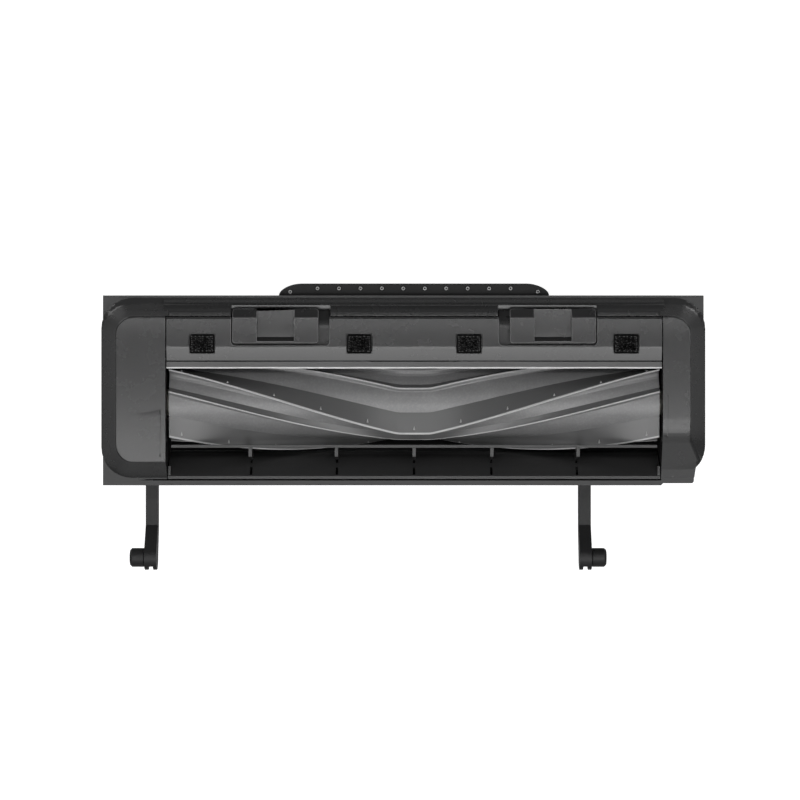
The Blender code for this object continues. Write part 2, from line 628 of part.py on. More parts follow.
def build_frame():
    """Flange, cheeks and shoulder in one moulding, open over the chamber and the gears."""
    frame = prism("main_frame", flange_outline(), "Z", PLATE_Z, FLANGE_Z, "body_plastic")
    right = cheek(1)
    boolean(right, prism("flange_column", flange_outline(SIDE_BULGE), "Z", PLATE_Z,
                         FACE_Z + BITE), "INTERSECT")
    join(frame, cheek(-1), right, shoulder())
    cut(frame, cover_bay(), latch_notch(-1), latch_notch(1))
    join(frame, keeper(-1), keeper(1))
    cut(frame, box("front_groove", (OPENING_LEFT - GROOVE_LEFT, OPENING_LEFT + BITE),
                   (WINDOW_FRONT_Y, GUARD_FRONT_Y), (FLANGE_Z - GROOVE_DEPTH, FLANGE_Z + BITE)))
    cut(frame, box("gear_well", (OUTPUT_X - GEAR_GAP, OPENING_LEFT - SHELL),
                   (AXIS_Y - GEAR_WELL, AXIS_Y + GEAR_WELL), (PLATE_Z - BITE, FACE_Z - SHELL)))
    cut(frame, box("left_hollow", (LEFT_X + SIDE_BANK + SHELL, OPENING_LEFT - SHELL),
                   (AXIS_Y + GEAR_WELL + SHELL, SEAM_Y - SHELL), (PLATE_Z - BITE, FACE_Z - SHELL)))
    cut(frame, box("right_hollow", (OPENING_RIGHT + SHELL, RIGHT_X - SIDE_BANK - SHELL),
                   (AXIS_Y - BLOCK_SEAT, SEAM_Y - SHELL), (PLATE_Z - BITE, FACE_Z - SHELL)))
    for place in deck_screw_places():
        cut(frame, upright_hole(place, SCREW_RADIUS + FIT, PLATE_Z - BITE, FLANGE_Z + BITE))
    for place in block_screw_places():
        cut(frame, upright_hole(place, SCREW_RADIUS + FIT, PLATE_Z - BITE,
                                PLATE_Z - POST_BELOW_PLATE + HOUSING_SCREW_LENGTH + GAP))
    cut(frame, face_line(-1), face_line(1))
    return frame


# Chamber, duct and seal ----------------------------------------------------------------------

def chamber_outline():
    """Outside of the chamber seen from its end, with its rear shelf and front skirt."""
    low = FRONT_SHELF_Z - SHELF_THICKNESS
    skirt = FRONT_Y + SKIRT_INSET
    start = math.degrees(math.asin((low - AXIS_Z) / CHAMBER_OUTER))
    under = arc((AXIS_Y, AXIS_Z), (CHAMBER_OUTER, CHAMBER_OUTER), 180 - start, 360, 14)
    rear = CHAMBER_REAR_Y + SHELF_DEPTH
    wall = CHAMBER_REAR_Y + CHAMBER_WALL
    return [(rear, RIM_Z), (skirt, RIM_Z), (skirt, low)] + under + [
        (wall, RIM_Z - SHELF_THICKNESS), (rear, RIM_Z - SHELF_THICKNESS)]


def chamber_space():
    """Inside of the chamber seen from its end, up through the opening."""
    skirt = FRONT_Y + SKIRT_INSET + SKIRT_WALL
    start = math.degrees(math.asin((FRONT_SHELF_Z - AXIS_Z) / CHAMBER_RADIUS))
    under = arc((AXIS_Y, AXIS_Z), (CHAMBER_RADIUS, CHAMBER_RADIUS), 180 - start, 360, 14)
    return [(CHAMBER_REAR_Y, RIM_Z + BITE), (skirt, RIM_Z + BITE),
            (skirt, FRONT_SHELF_Z)] + under


def end_slot(name, low, high, radius):
    """Slot in an end wall, round below the brush axis and open upwards."""
    outline = arc((AXIS_Y, AXIS_Z), (radius, radius), 180, 360, 8)
    outline += [(AXIS_Y + radius, RIM_Z + BITE), (AXIS_Y - radius, RIM_Z + BITE)]
    return prism(name, outline, "X", low, high)


def screw_boss(place, low, high):
    """Round upright post for a screw."""
    return prism("screw_boss", circle(place, POST_RADIUS, 12, 0.1), "Z", low, high)


def build_chamber():
    """Trough round the brush with its rear shelf, front skirt, feet and suction duct."""
    left, right = OPENING_LEFT - CHAMBER_WALL, OPENING_RIGHT + CHAMBER_WALL
    chamber = prism("brush_chamber", chamber_outline(), "X", left, right, "lower_plastic")
    duct_x = (OPENING_OFFSET - DUCT_LENGTH / 2, OPENING_OFFSET + DUCT_LENGTH / 2)
    join(chamber, box("duct_body", (duct_x[0] - DUCT_WALL, duct_x[1] + DUCT_WALL),
                      (AXIS_Y + CHAMBER_RADIUS / 2, REAR_Y - SEAL_BACK - GAP),
                      (DUCT_ABOVE_GROUND, DUCT_TOP)))
    for x in FOOT_RIB_PLACES:
        middle = OPENING_OFFSET + x
        join(chamber, box("foot_rib", (middle - FOOT_RIB / 2, middle + FOOT_RIB / 2),
                          (AXIS_Y - FOOT_RIB_HALF_DEPTH, AXIS_Y + FOOT_RIB_HALF_DEPTH),
                          (0, AXIS_Z - CHAMBER_RADIUS / 2)))
    for place in deck_screw_places():
        join(chamber, screw_boss(place, DUCT_TOP - BITE, RIM_Z - BITE / 2))
    cut(chamber, prism("chamber_space", chamber_space(), "X", OPENING_LEFT, OPENING_RIGHT))
    cut(chamber, box("duct_space", duct_x, (AXIS_Y + CHAMBER_RADIUS / 3, REAR_Y),
                     (DUCT_ABOVE_GROUND + DUCT_WALL, DUCT_TOP - DUCT_WALL)))
    cut(chamber, end_slot("left_end_slot", left - BITE, OPENING_LEFT + BITE, END_SLOT_RADIUS))
    cut(chamber, end_slot("right_end_slot", OPENING_RIGHT - BITE, right + BITE,
                          END_SLOT_RADIUS))
    place = arm_screw_places()[1]
    join(chamber, screw_boss(place, FRONT_SHELF_Z - BITE, FRONT_SHELF_Z + BOSS_HEIGHT))
    cut(chamber, upright_hole(place, SCREW_RADIUS + FIT, ARM_TOP,
                              FRONT_SHELF_Z + BOSS_HEIGHT - BITE))
    for place in deck_screw_places():
        cut(chamber, upright_hole(place, SCREW_RADIUS + FIT, FLANGE_Z - DECK_SCREW_LENGTH - GAP,
                                  RIM_Z + BITE))
    return chamber


def build_duct_seal():
    """Rubber nose round the duct's outlet, narrower at its tip."""
    low, high = DUCT_ABOVE_GROUND - SEAL_WALL, DUCT_TOP + SEAL_WALL
    root = REAR_Y - SEAL_BACK
    edge = root + SEAL_EDGE
    tip = REAR_Y + DUCT_REACH
    outline = []
    for side in (1, -1):
        half = side * SEAL_LENGTH / 2
        turn = [(half - side * SEAL_TAPER * u ** 1.5, edge + (tip - edge) * (1 - (1 - u) ** 1.7))
                for u in (i / 8 for i in range(9))]
        points = [(half, root)] + turn
        outline += points if side > 0 else points[::-1]
    outline = [(OPENING_OFFSET + x, y) for x, y in outline]
    seal = prism("duct_seal", outline, "Z", low, high, "seal_rubber")
    half = SEAL_LENGTH / 2 - SEAL_MOUTH_INSET
    cut(seal, box("seal_mouth", (OPENING_OFFSET - half, OPENING_OFFSET + half),
                  (root - BITE, tip + BITE), (DUCT_ABOVE_GROUND + DUCT_WALL, DUCT_TOP - DUCT_WALL)))
    join(seal, *seal_studs())
    return seal


def seal_studs():
    """Round pips moulded along the top of the seal, with one more at each round end."""
    tip = REAR_Y + DUCT_REACH
    half = SEAL_LENGTH / 2
    row = half - STUD_ROW_INSET
    places = [(-row + 2 * row * i / (STUDS - 1), tip - STUD_INSET) for i in range(STUDS)]
    places += [(side * (half - END_STUD_FROM_END), tip - END_STUD_INSET) for side in (-1, 1)]
    top = DUCT_TOP + SEAL_WALL
    return [prism("stud", circle((OPENING_OFFSET + x, y), STUD_RADIUS, 8), "Z", top - BITE,
                  top + STUD_HEIGHT) for x, y in places]


# Intake guard --------------------------------------------------------------------------------

def mouth_height(y, inset):
    """Height of the mouth's surface at a distance along Y, a given depth inside it."""
    share = (y - MOUTH_Y) / (MOUTH_DEPTH - inset)
    return MOUTH_Z + (MOUTH_HEIGHT - inset) * math.sqrt(1 - share)


def mouth_curve(inset):
    """Points down the mouth's surface, a given depth inside it, as half a parabola."""
    shares = [1 - i / 10 for i in range(11)]
    return [(MOUTH_Y + (MOUTH_DEPTH - inset) * (1 - u ** 2), MOUTH_Z + (MOUTH_HEIGHT - inset) * u)
            for u in shares]


def mouth_outline():
    """Lip and curved sheet that leads air and dirt down into the chamber."""
    top = MOUTH_Z + MOUTH_HEIGHT
    inner = mouth_curve(MOUTH_WALL)[1:]
    return ([(GUARD_FRONT_Y, top)] + mouth_curve(0.0) + inner[::-1]
            + [(GUARD_FRONT_Y, top - LIP_HEIGHT)])


def rib_outline():
    """Finger from the rail down to the mouth, its back on a circle round the brush axis."""
    foot = RAIL_Y - RIB_FOOT
    low = AXIS_Z - RIB_DROP
    reach = SWEEP + FIT
    back = arc((AXIS_Y, AXIS_Z), (reach, reach), 180 + math.degrees(math.asin(RIB_DROP / reach)),
               147, 8)
    heel = MOUTH_Y + (MOUTH_DEPTH - MOUTH_WALL / 2) * (
        1 - ((low - MOUTH_Z) / (MOUTH_HEIGHT - MOUTH_WALL / 2)) ** 2)
    top = AXIS_Z + RAIL_RISE
    return [(foot, mouth_height(foot, MOUTH_WALL / 2)), (heel, low)] + back + [
        (RAIL_Y + RAIL_THICKNESS / 2, top - FIT), (RAIL_Y - RIB_NOSE / 2, top - FIT),
        (RAIL_Y - RIB_NOSE, top - 3 * FIT)]


def build_guard():
    """Intake guard: lip, mouth, rail, ribs and end returns in one moulding."""
    left, right = OPENING_LEFT + GAP, OPENING_RIGHT - GAP
    guard = prism("intake_guard", mouth_outline(), "X", left, right, "body_plastic")
    rail_low = AXIS_Z + sweep_height(RAIL_OUT - RAIL_THICKNESS) + FIT
    rail_end = OPENING_LENGTH / 2 - 2 * GUARD_END
    parts = [box("rail", (OPENING_OFFSET - rail_end, OPENING_OFFSET + rail_end),
                 (RAIL_Y, RAIL_Y + RAIL_THICKNESS), (rail_low, AXIS_Z + RAIL_RISE))]
    for x in RIB_PLACES:
        middle = OPENING_OFFSET + x
        parts.append(prism("rib", rib_outline(), "X", middle - RIB_THICKNESS / 2,
                           middle + RIB_THICKNESS / 2))
    for edge in (left, right - GUARD_END):
        parts.append(box("end_return", (edge, edge + GUARD_END),
                         (GUARD_FRONT_Y + FIT, GUARD_FRONT_Y + GUARD_END_DEPTH),
                         (MOUTH_Z + MOUTH_HEIGHT - LIP_HEIGHT, MOUTH_Z + MOUTH_HEIGHT - FIT)))
    join(guard, *parts)
    for x in RIB_PLACES:
        middle = OPENING_OFFSET + x
        for near, far in RIB_SLOTS:
            cut(guard, box("rib_slot", (middle - RIB_SLOT / 2, middle + RIB_SLOT / 2),
                           (RAIL_Y - far, RAIL_Y - near), (AXIS_Z, FACE_Z)))
    return guard


# Cover, wiper, pads and latches --------------------------------------------------------------

def cover_outline():
    """Cover seen from its end: face, front chamfer, front lip and rear round."""
    front = AXIS_Y + COVER_FRONT
    wall = CHAMBER_REAR_Y + COVER_REST
    rear = SEAM_Y - GAP
    lip = FACE_Z - COVER_LIP
    return [(rear, COVER_Z), (wall, COVER_Z), (wall, lip), (front, lip),
            (front, FACE_Z - CHAMFER_DROP), (front + CHAMFER_WIDTH, FACE_Z),
            (rear - FACE_EDGE, FACE_Z), (rear - 0.3 * FACE_EDGE, FACE_Z - 0.3 * FACE_EDGE),
            (rear, FACE_Z - FACE_EDGE)]


def recess_span(side, grow=0.0):
    """Ends of a latch recess along X."""
    return span(mirrored(RECESS_MIDDLE - RECESS_LENGTH / 2 - grow, side),
                mirrored(RECESS_MIDDLE + RECESS_LENGTH / 2 + grow, side))


def latch_span(side):
    """Ends of a latch along X with the latch closed."""
    outer = RECESS_MIDDLE + RECESS_LENGTH / 2 - LATCH_PLAY
    return span(mirrored(outer - LATCH_LENGTH, side), mirrored(outer, side))


def cover_hollows():
    """Cutters under the cover: a deep one between the latches and beside each of them."""
    ends = [OPENING_LEFT + GAP + COVER_WALL]
    for side in (-1, 1):
        ends += [recess_span(side, COVER_WALL)[0], recess_span(side, COVER_WALL)[1]]
    ends.append(OPENING_RIGHT - GAP - COVER_WALL)
    y = (CHAMBER_REAR_Y + COVER_REST + COVER_WALL, SEAM_Y - GAP - COVER_WALL)
    z = (COVER_Z - BITE, FACE_Z - COVER_WALL)
    deep = [box("cover_hollow", (ends[i], ends[i + 1]), y, z) for i in (0, 2, 4)]
    shallow = [box("latch_hollow", recess_span(side), y, (COVER_Z - BITE, FLOOR_UNDER_Z))
               for side in (-1, 1)]
    return deep + shallow


def tongue_slot(side):
    """Opening in the wall beside a latch that its tongue and the keeper stand in."""
    outer = RECESS_MIDDLE + RECESS_LENGTH / 2
    half = TONGUE_HALF_DEPTH + 2 * GAP
    x = span(mirrored(outer - BITE, side),
             mirrored(outer + TONGUE_OUT + KEEPER_LENGTH + BITE, side))
    return box("tongue_slot", x, (TONGUE_Y - half, TONGUE_Y + half),
               (COVER_Z - BITE, FLANGE_Z + KEEPER_RISE + GAP))


def recess_space(side):
    """Space of a latch recess: its floor falls towards the rear and its front corners are round."""
    front, start = AXIS_Y + RECESS_FRONT, AXIS_Y + RECESS_BANK[0]
    high = FACE_Z + BITE
    outline = [(front, FLOOR_Z), (start, FLOOR_Z), (AXIS_Y + LATCH_REAR, FLOOR_Z - RECESS_BANK[1]),
               (REAR_Y, FLOOR_Z - RECESS_BANK[1]), (REAR_Y, high), (front, high)]
    ends = recess_span(side)
    space = prism("latch_recess", outline, "X", *ends)
    plan = rounded_box_outline(ends, (front, REAR_Y + 2 * BITE), RECESS_CORNER)
    boolean(space, prism("recess_plan", plan, "Z", COVER_Z - BITE, high + BITE), "INTERSECT")
    return space


def leg_slot(side):
    """Slot in the recess floor that lets the latch's leg travel inward."""
    inner, outer = RECESS_MIDDLE, RECESS_MIDDLE
    shift = RECESS_LENGTH / 2 - LATCH_PLAY - LATCH_LENGTH / 2
    inner += shift - LEG_LENGTH / 2 - LATCH_TRAVEL - GAP
    outer += shift + LEG_LENGTH / 2 + GAP
    half = TONGUE_HALF_DEPTH + GAP
    return box("leg_slot", span(mirrored(inner, side), mirrored(outer, side)),
               (TONGUE_Y - half, TONGUE_Y + half), (FLOOR_UNDER_Z - BITE, FLOOR_Z + BITE))


def pad_places():
    """Middles of the four pads."""
    return [(mirrored(place, side), AXIS_Y + PAD_BEHIND_AXIS)
            for side in (-1, 1) for place in PAD_PLACES]


def build_cover():
    """Lift-off cover with two latch recesses and four shallow seats for the pads."""
    cover = prism("brush_cover", cover_outline(), "X", OPENING_LEFT + GAP, OPENING_RIGHT - GAP,
                  "body_plastic")
    for side in (-1, 1):
        join(cover, box("latch_tab", recess_span(side), (SEAM_Y - COVER_WALL,
             AXIS_Y + RECESS_REAR - RECESS_SLOPE - GAP), (COVER_Z, FLOOR_Z)))
        cut(cover, recess_space(side))
    cut(cover, *cover_hollows())
    for side in (-1, 1):
        cut(cover, tongue_slot(side), leg_slot(side))
    for x, y in pad_places():
        half_x, half_y = PAD_LENGTH / 2 + GAP, PAD_DEPTH / 2 + GAP
        cut(cover, box("pad_seat", (x - half_x, x + half_x), (y - half_y, y + half_y),
                       (FACE_Z - PAD_RECESS, FACE_Z + BITE)))
    return cover


def build_wiper():
    """Rubber strip along the front of the cover, thin at its free edge."""
    low = AXIS_Z + sweep_height(WIPER_REACH)
    rear = AXIS_Y + COVER_FRONT - GAP
    leg = rear - WIPER_LEG
    leg_low = AXIS_Z + sweep_height(leg - AXIS_Y)
    outline = [(AXIS_Y + WIPER_REACH, low), (leg, low), (leg, leg_low), (rear, leg_low),
               (rear, low + WIPER_THICKNESS), (AXIS_Y + WIPER_REACH, low + WIPER_THICKNESS)]
    return prism("wiper_strip", outline, "X", OPENING_LEFT + GAP, OPENING_RIGHT - GAP,
                 "brush_rubber")


def build_pads():
    """Four soft pile pads that glide over hard floors."""
    pads = []
    for number, (x, y) in enumerate(pad_places(), start=1):
        low = FACE_Z - PAD_RECESS + GAP
        pads.append(box(f"glide_pad_{number}", (x - PAD_LENGTH / 2, x + PAD_LENGTH / 2),
                        (y - PAD_DEPTH / 2, y + PAD_DEPTH / 2), (low, low + PAD_HEIGHT),
                        "pile_fabric"))
    return pads


def latch_outline():
    """Latch seen from its end: flat face and a bank at its rear."""
    front, rear = AXIS_Y + LATCH_FRONT, AXIS_Y + LATCH_REAR
    low, high = FLOOR_Z + GAP, FACE_Z - LATCH_SINK
    return [(front, low), (rear, low), (rear, low + LATCH_REAR_RISE), (rear - LATCH_BANK, high),
            (front, high)]


def build_latch(side, name):
    """Sliding latch with a finger pocket, a leg through the floor and a tongue outwards."""
    ends = latch_span(side)
    middle_x = sum(ends) / 2
    tongue_y = (TONGUE_Y - TONGUE_HALF_DEPTH, TONGUE_Y + TONGUE_HALF_DEPTH)
    low = FLOOR_UNDER_Z - LEG_REACH
    latch = prism(name, latch_outline(), "X", *ends, "body_plastic")
    plan = rounded_box_outline(ends, (AXIS_Y + LATCH_FRONT, AXIS_Y + LATCH_REAR), LATCH_CORNER)
    boolean(latch, prism("latch_plan", plan, "Z", FLOOR_Z, FACE_Z), "INTERSECT")
    leg = box("leg", (middle_x - LEG_LENGTH / 2, middle_x + LEG_LENGTH / 2), tongue_y,
              (low, FLOOR_Z + GAP + BITE / 2))
    tip = mirrored(RECESS_MIDDLE + RECESS_LENGTH / 2 + TONGUE_OUT, side)
    tongue = box("tongue", span(middle_x, tip), tongue_y, (low, FLOOR_UNDER_Z - GAP))
    join(latch, leg, tongue)
    cut(latch, finger_pocket(middle_x))
    return latch


def finger_pocket(middle):
    """Cutter for the pocket of a latch: a sloping front wall and two round front corners."""
    front = AXIS_Y + LATCH_FRONT + POCKET_WALL
    top = FACE_Z - LATCH_SINK
    rise = BITE / POCKET_DEPTH * POCKET_SLOPE
    outline = [(front + POCKET_SLOPE, top - POCKET_DEPTH), (REAR_Y, top - POCKET_DEPTH),
               (REAR_Y, top + BITE), (front - rise, top + BITE)]
    ends = (middle - POCKET_LENGTH / 2, middle + POCKET_LENGTH / 2)
    pocket = prism("finger_pocket", outline, "X", *ends)
    plan = rounded_box_outline(ends, (front - rise, REAR_Y + 2 * BITE), POCKET_CORNER)
    boolean(pocket, prism("pocket_plan", plan, "Z", FLOOR_Z, FACE_Z + 2 * BITE), "INTERSECT")
    return pocket


def build_latch_spring(side, name):
    """Coil spring that pushes the latch's leg outward, wound along X."""
    start = sum(latch_span(side)) / 2 - side * (LEG_LENGTH / 2 + SPRING_WIRE + GAP)
    middle = (TONGUE_Y, (FLANGE_Z + FLOOR_UNDER_Z) / 2)
    steps = SPRING_TURNS * 8
    centres = []
    for i in range(steps + 1):
        turn = 2 * math.pi * i / 8
        centres.append(Vector((start - side * SPRING_LENGTH * i / steps,
                               middle[0] + SPRING_RADIUS * math.cos(turn),
                               middle[1] + SPRING_RADIUS * math.sin(turn))))
    return wire(name, centres, SPRING_WIRE, 5, "steel")


def wire(name, centres, radius, sides, finish):
    """Round wire through points along X: each section is square to the wire's direction."""
    rings = []
    for i, centre in enumerate(centres):
        ahead = centres[min(i + 1, len(centres) - 1)] - centres[max(i - 1, 0)]
        across = ahead.cross(Vector((1, 0, 0))).normalized()
        up = ahead.cross(across).normalized()
        rings.append([centre + across * u + up * v for u, v in circle((0, 0), radius, sides)])
    return loft(name, rings, finish)


# Brush ---------------------------------------------------------------------------------------

def fin_phase(x, start):
    """Angle of a fin at a place along the brush: level in the middle, then a steady twist."""
    out = max(0.0, abs(x - OPENING_OFFSET) - FLAT_MIDDLE / 2)
    return start - TWIST * out / MM


def fin_points(radius, outline, tip):
    """One fin in polar form (angle, radius)."""
    rise = radius - SLEEVE_RADIUS
    return [(tip + ahead, SLEEVE_RADIUS + rise * share) for ahead, share in outline]


def section_points():
    """Whole cross-section of the sleeve: tall leaning fins and short ones in turn."""
    points = []
    for k in range(FIN_PAIRS):
        turn = k * 360 / FIN_PAIRS
        valley = [(turn + angle, SLEEVE_RADIUS) for angle in VALLEY_POINTS]
        points += fin_points(TALL_FIN_RADIUS, TALL_FIN, turn + TALL_TIP)
        points.append(valley[0])
        points += fin_points(SHORT_FIN_RADIUS, SHORT_FIN, turn + SHORT_TIP)
        points += valley[1:]
    return points


def brush_point(x, angle, radius):
    """Point on the brush. Angles grow from the top towards the front."""
    turn = math.radians(angle)
    return (x, AXIS_Y - radius * math.sin(turn), AXIS_Z + radius * math.cos(turn))


def brush_stations():
    """Places along the brush where its cross-section is set."""
    half = BRUSH_HALF
    flat = FLAT_MIDDLE / 2
    out = [flat + (half - flat) * i / TWIST_STATIONS for i in range(TWIST_STATIONS + 1)]
    return [OPENING_OFFSET - x for x in reversed(out)] + [OPENING_OFFSET + x for x in out]


def build_sleeve():
    """Rubber sleeve with its chevron fins, bored for the core."""
    bore = SLEEVE_RADIUS - SLEEVE_WALL
    section = section_points()
    count = len(section)
    points = []
    for x in brush_stations():
        points += [brush_point(x, fin_phase(x, a), r) for a, r in section]
    outer = len(points)
    for x in brush_stations():
        points += [brush_point(x, fin_phase(x, 360 * i / count), bore) for i in range(count)]
    faces = []
    last = len(brush_stations()) - 1
    for i in range(count):
        j = (i + 1) % count
        for s in range(last):
            a, b = s * count, (s + 1) * count
            faces.append((a + i, a + j, b + j, b + i))
            faces.append((outer + a + j, outer + a + i, outer + b + i, outer + b + j))
        faces.append((i, outer + i, outer + j, j))
        end = last * count
        faces.append((end + j, outer + end + j, outer + end + i, end + i))
    return solid("brush_sleeve", points, faces, "brush_rubber")


def build_brush():
    """Core tube, finned sleeve, drive plug on the left and bearing plug on the right."""
    axis = (AXIS_Y, AXIS_Z)
    half = BRUSH_HALF - CORE_INSET
    left, right = OPENING_OFFSET - half, OPENING_OFFSET + half
    outer = SLEEVE_RADIUS - SLEEVE_WALL - GAP
    core = rod("brush_core", (left, right), axis, outer, 24, "lower_plastic")
    cut(core, rod("core_bore", (left - BITE, right + BITE), axis, CORE_BORE_RADIUS, 24))
    neck_left = GEARBOX_RIGHT + NECK_PAST_WALL
    drive = turned("drive_plug", [(neck_left, NECK_RADIUS), (left - CORE_INSET, NECK_RADIUS),
                                  (left - CORE_INSET, outer), (left - GAP, outer),
                                  (left - GAP, CORE_BORE_RADIUS - GAP),
                                  (left + PLUG_DEPTH, CORE_BORE_RADIUS - GAP)], axis, 20,
                   "gear_plastic")
    half_square = SQUARE / 2
    join(drive, box("drive_square", (neck_left - SQUARE_LENGTH, neck_left + BITE),
                    (AXIS_Y - half_square, AXIS_Y + half_square),
                    (AXIS_Z - half_square, AXIS_Z + half_square)))
    neck_right = BEARING_LEFT - NECK_PAST_WALL
    end = turned("bearing_plug", [(right - PLUG_DEPTH, CORE_BORE_RADIUS - GAP),
                                  (right + GAP, CORE_BORE_RADIUS - GAP), (right + GAP, outer),
                                  (right + CORE_INSET, outer), (right + CORE_INSET, NECK_RADIUS),
                                  (neck_right, NECK_RADIUS), (neck_right, STUB_SHAFT_RADIUS),
                                  (neck_right + STUB_SHAFT_LENGTH, STUB_SHAFT_RADIUS)], axis, 20,
                 "gear_plastic")
    pieces = [core, build_sleeve(), drive, end]
    pivot("brush", (OPENING_OFFSET, AXIS_Y, AXIS_Z), pieces)
    return pieces


# Gearbox, motor and bearings -----------------------------------------------------------------

def gear_outline(teeth, centre, first_angle):
    """Involute gear seen along X. The first tooth points at first_angle, in degrees."""
    pitch = MODULE * teeth / 2
    base = pitch * math.cos(PRESSURE_ANGLE)
    tip, root = pitch + ADDENDUM * MODULE, pitch - DEDENDUM * MODULE
    half_pitch = math.pi / 2 / teeth - BACKLASH / 2 / pitch
    flank = half_pitch + math.tan(PRESSURE_ANGLE) - PRESSURE_ANGLE
    radii = [root] + [max(base, root) + (tip - max(base, root)) * s for s in (0.0, 0.5, 1.0)]
    if root >= base:
        radii = radii[1:]
    halves = []
    for r in radii:
        roll = math.acos(min(1.0, base / r))
        halves.append((r, flank - (math.tan(roll) - roll)))
    outline = []
    for k in range(teeth):
        middle = math.radians(first_angle) + 2 * math.pi * k / teeth
        points = [(r, middle - h) for r, h in halves] + [(r, middle + h) for r, h in halves[::-1]]
        outline += [(centre[0] + r * math.cos(a), centre[1] + r * math.sin(a)) for r, a in points]
    return outline


def idler_place():
    """Centre of the idler: one centre distance from both the brush and the motor axis."""
    along = Vector((MOTOR_Y - AXIS_Y, MOTOR_Z - AXIS_Z))
    middle = Vector((MOTOR_Y + AXIS_Y, MOTOR_Z + AXIS_Z)) / 2
    off = math.sqrt(CENTRE_DISTANCE ** 2 - (along.length / 2) ** 2)
    away = Vector((along.y, -along.x)).normalized()
    place = middle + away * off
    return (place.x, place.y)


def heading(start, end):
    """Direction from one (y, z) point to another, in degrees."""
    return math.degrees(math.atan2(end[1] - start[1], end[0] - start[0]))


def build_gears():
    """Output gear with its square socket, compound idler, and pinion on the motor shaft."""
    axis, idler, motor = (AXIS_Y, AXIS_Z), idler_place(), (MOTOR_Y, MOTOR_Z)
    to_idler = heading(axis, idler)
    output = prism("output_gear", gear_outline(WHEEL_TEETH, axis, to_idler), "X", OUTPUT_X,
                   OUTPUT_X + OUTPUT_WIDTH, "gear_plastic")
    join(output, rod("hub", (OUTPUT_X + OUTPUT_WIDTH - BITE, HUB_RIGHT), axis, HUB_RADIUS, 20),
         rod("stub", (GEARBOX_LEFT + GAP, OUTPUT_X + BITE), axis, STUB_RADIUS, 14))
    half = SOCKET / 2
    cut(output, box("square_socket", (HUB_RIGHT - SOCKET_DEPTH, HUB_RIGHT + BITE),
                    (AXIS_Y - half, AXIS_Y + half), (AXIS_Z - half, AXIS_Z + half)))
    gap_angle = to_idler + 180 + 180 / PINION_TEETH
    wheel = prism("idler_gear", gear_outline(WHEEL_TEETH, idler, heading(idler, motor)), "X",
                  WHEEL_X, WHEEL_X + WHEEL_WIDTH, "gear_plastic")
    join(wheel, prism("idler_pinion", gear_outline(PINION_TEETH, idler, gap_angle), "X",
                      WHEEL_X + WHEEL_WIDTH - BITE, OUTPUT_X + OUTPUT_WIDTH))
    cut(wheel, rod("idler_bore", (WHEEL_X - BITE, OUTPUT_X + OUTPUT_WIDTH + BITE), idler,
                   AXLE_RADIUS + FIT, 14))
    pinion_angle = heading(motor, idler) + 180 / PINION_TEETH
    pinion = prism("motor_pinion", gear_outline(PINION_TEETH, motor, pinion_angle), "X",
                   WHEEL_X, WHEEL_X + WHEEL_WIDTH, "bronze")
    cut(pinion, rod("pinion_bore", (WHEEL_X - BITE, WHEEL_X + WHEEL_WIDTH + BITE), motor,
                    SHAFT_RADIUS + FIT, 14))
    pivot("output", (OUTPUT_X, *axis), [output])
    pivot("idler", (WHEEL_X, *idler), [wheel])
    return output, wheel, pinion


def build_rotor(pinion):
    """Motor shaft with its armature. The pinion turns with them."""
    motor = (MOTOR_Y, MOTOR_Z)
    shaft = rod("motor_shaft", (WHEEL_X - GEAR_GAP / 2, MOTOR_LEFT + MOTOR_LENGTH), motor,
                SHAFT_RADIUS, 12, "steel")
    outline = []
    for pole in range(3):
        start = 120 * pole
        outline += circle_part(motor, ARMATURE_RADIUS, start - 48, start + 48, 5)
        outline += circle_part(motor, ARMATURE_RADIUS * 0.45, start + 56, start + 64, 1)
    low = MOTOR_LEFT + ARMATURE_START
    armature = prism("motor_armature", outline, "X", low, low + ARMATURE_LENGTH, "steel")
    cut(armature, rod("armature_bore", (low - BITE, low + ARMATURE_LENGTH + BITE), motor,
                      SHAFT_RADIUS + GAP, 12))
    pivot("rotor", (WHEEL_X, *motor), [shaft, armature, pinion])
    return shaft, armature


def circle_part(centre, radius, start, end, steps):
    """Points along a circular arc in the (y, z) plane."""
    return arc(centre, (radius, radius), start, end, steps)


def motor_outline(inset=0.0):
    """Round motor can with two flats."""
    radius, flat = MOTOR_RADIUS - inset, MOTOR_FLAT - inset
    angle = math.degrees(math.asin(flat / radius))
    centre = (MOTOR_Y, MOTOR_Z)
    return circle_part(centre, radius, -angle, angle, 8) + circle_part(
        centre, radius, 180 - angle, 180 + angle, 8)


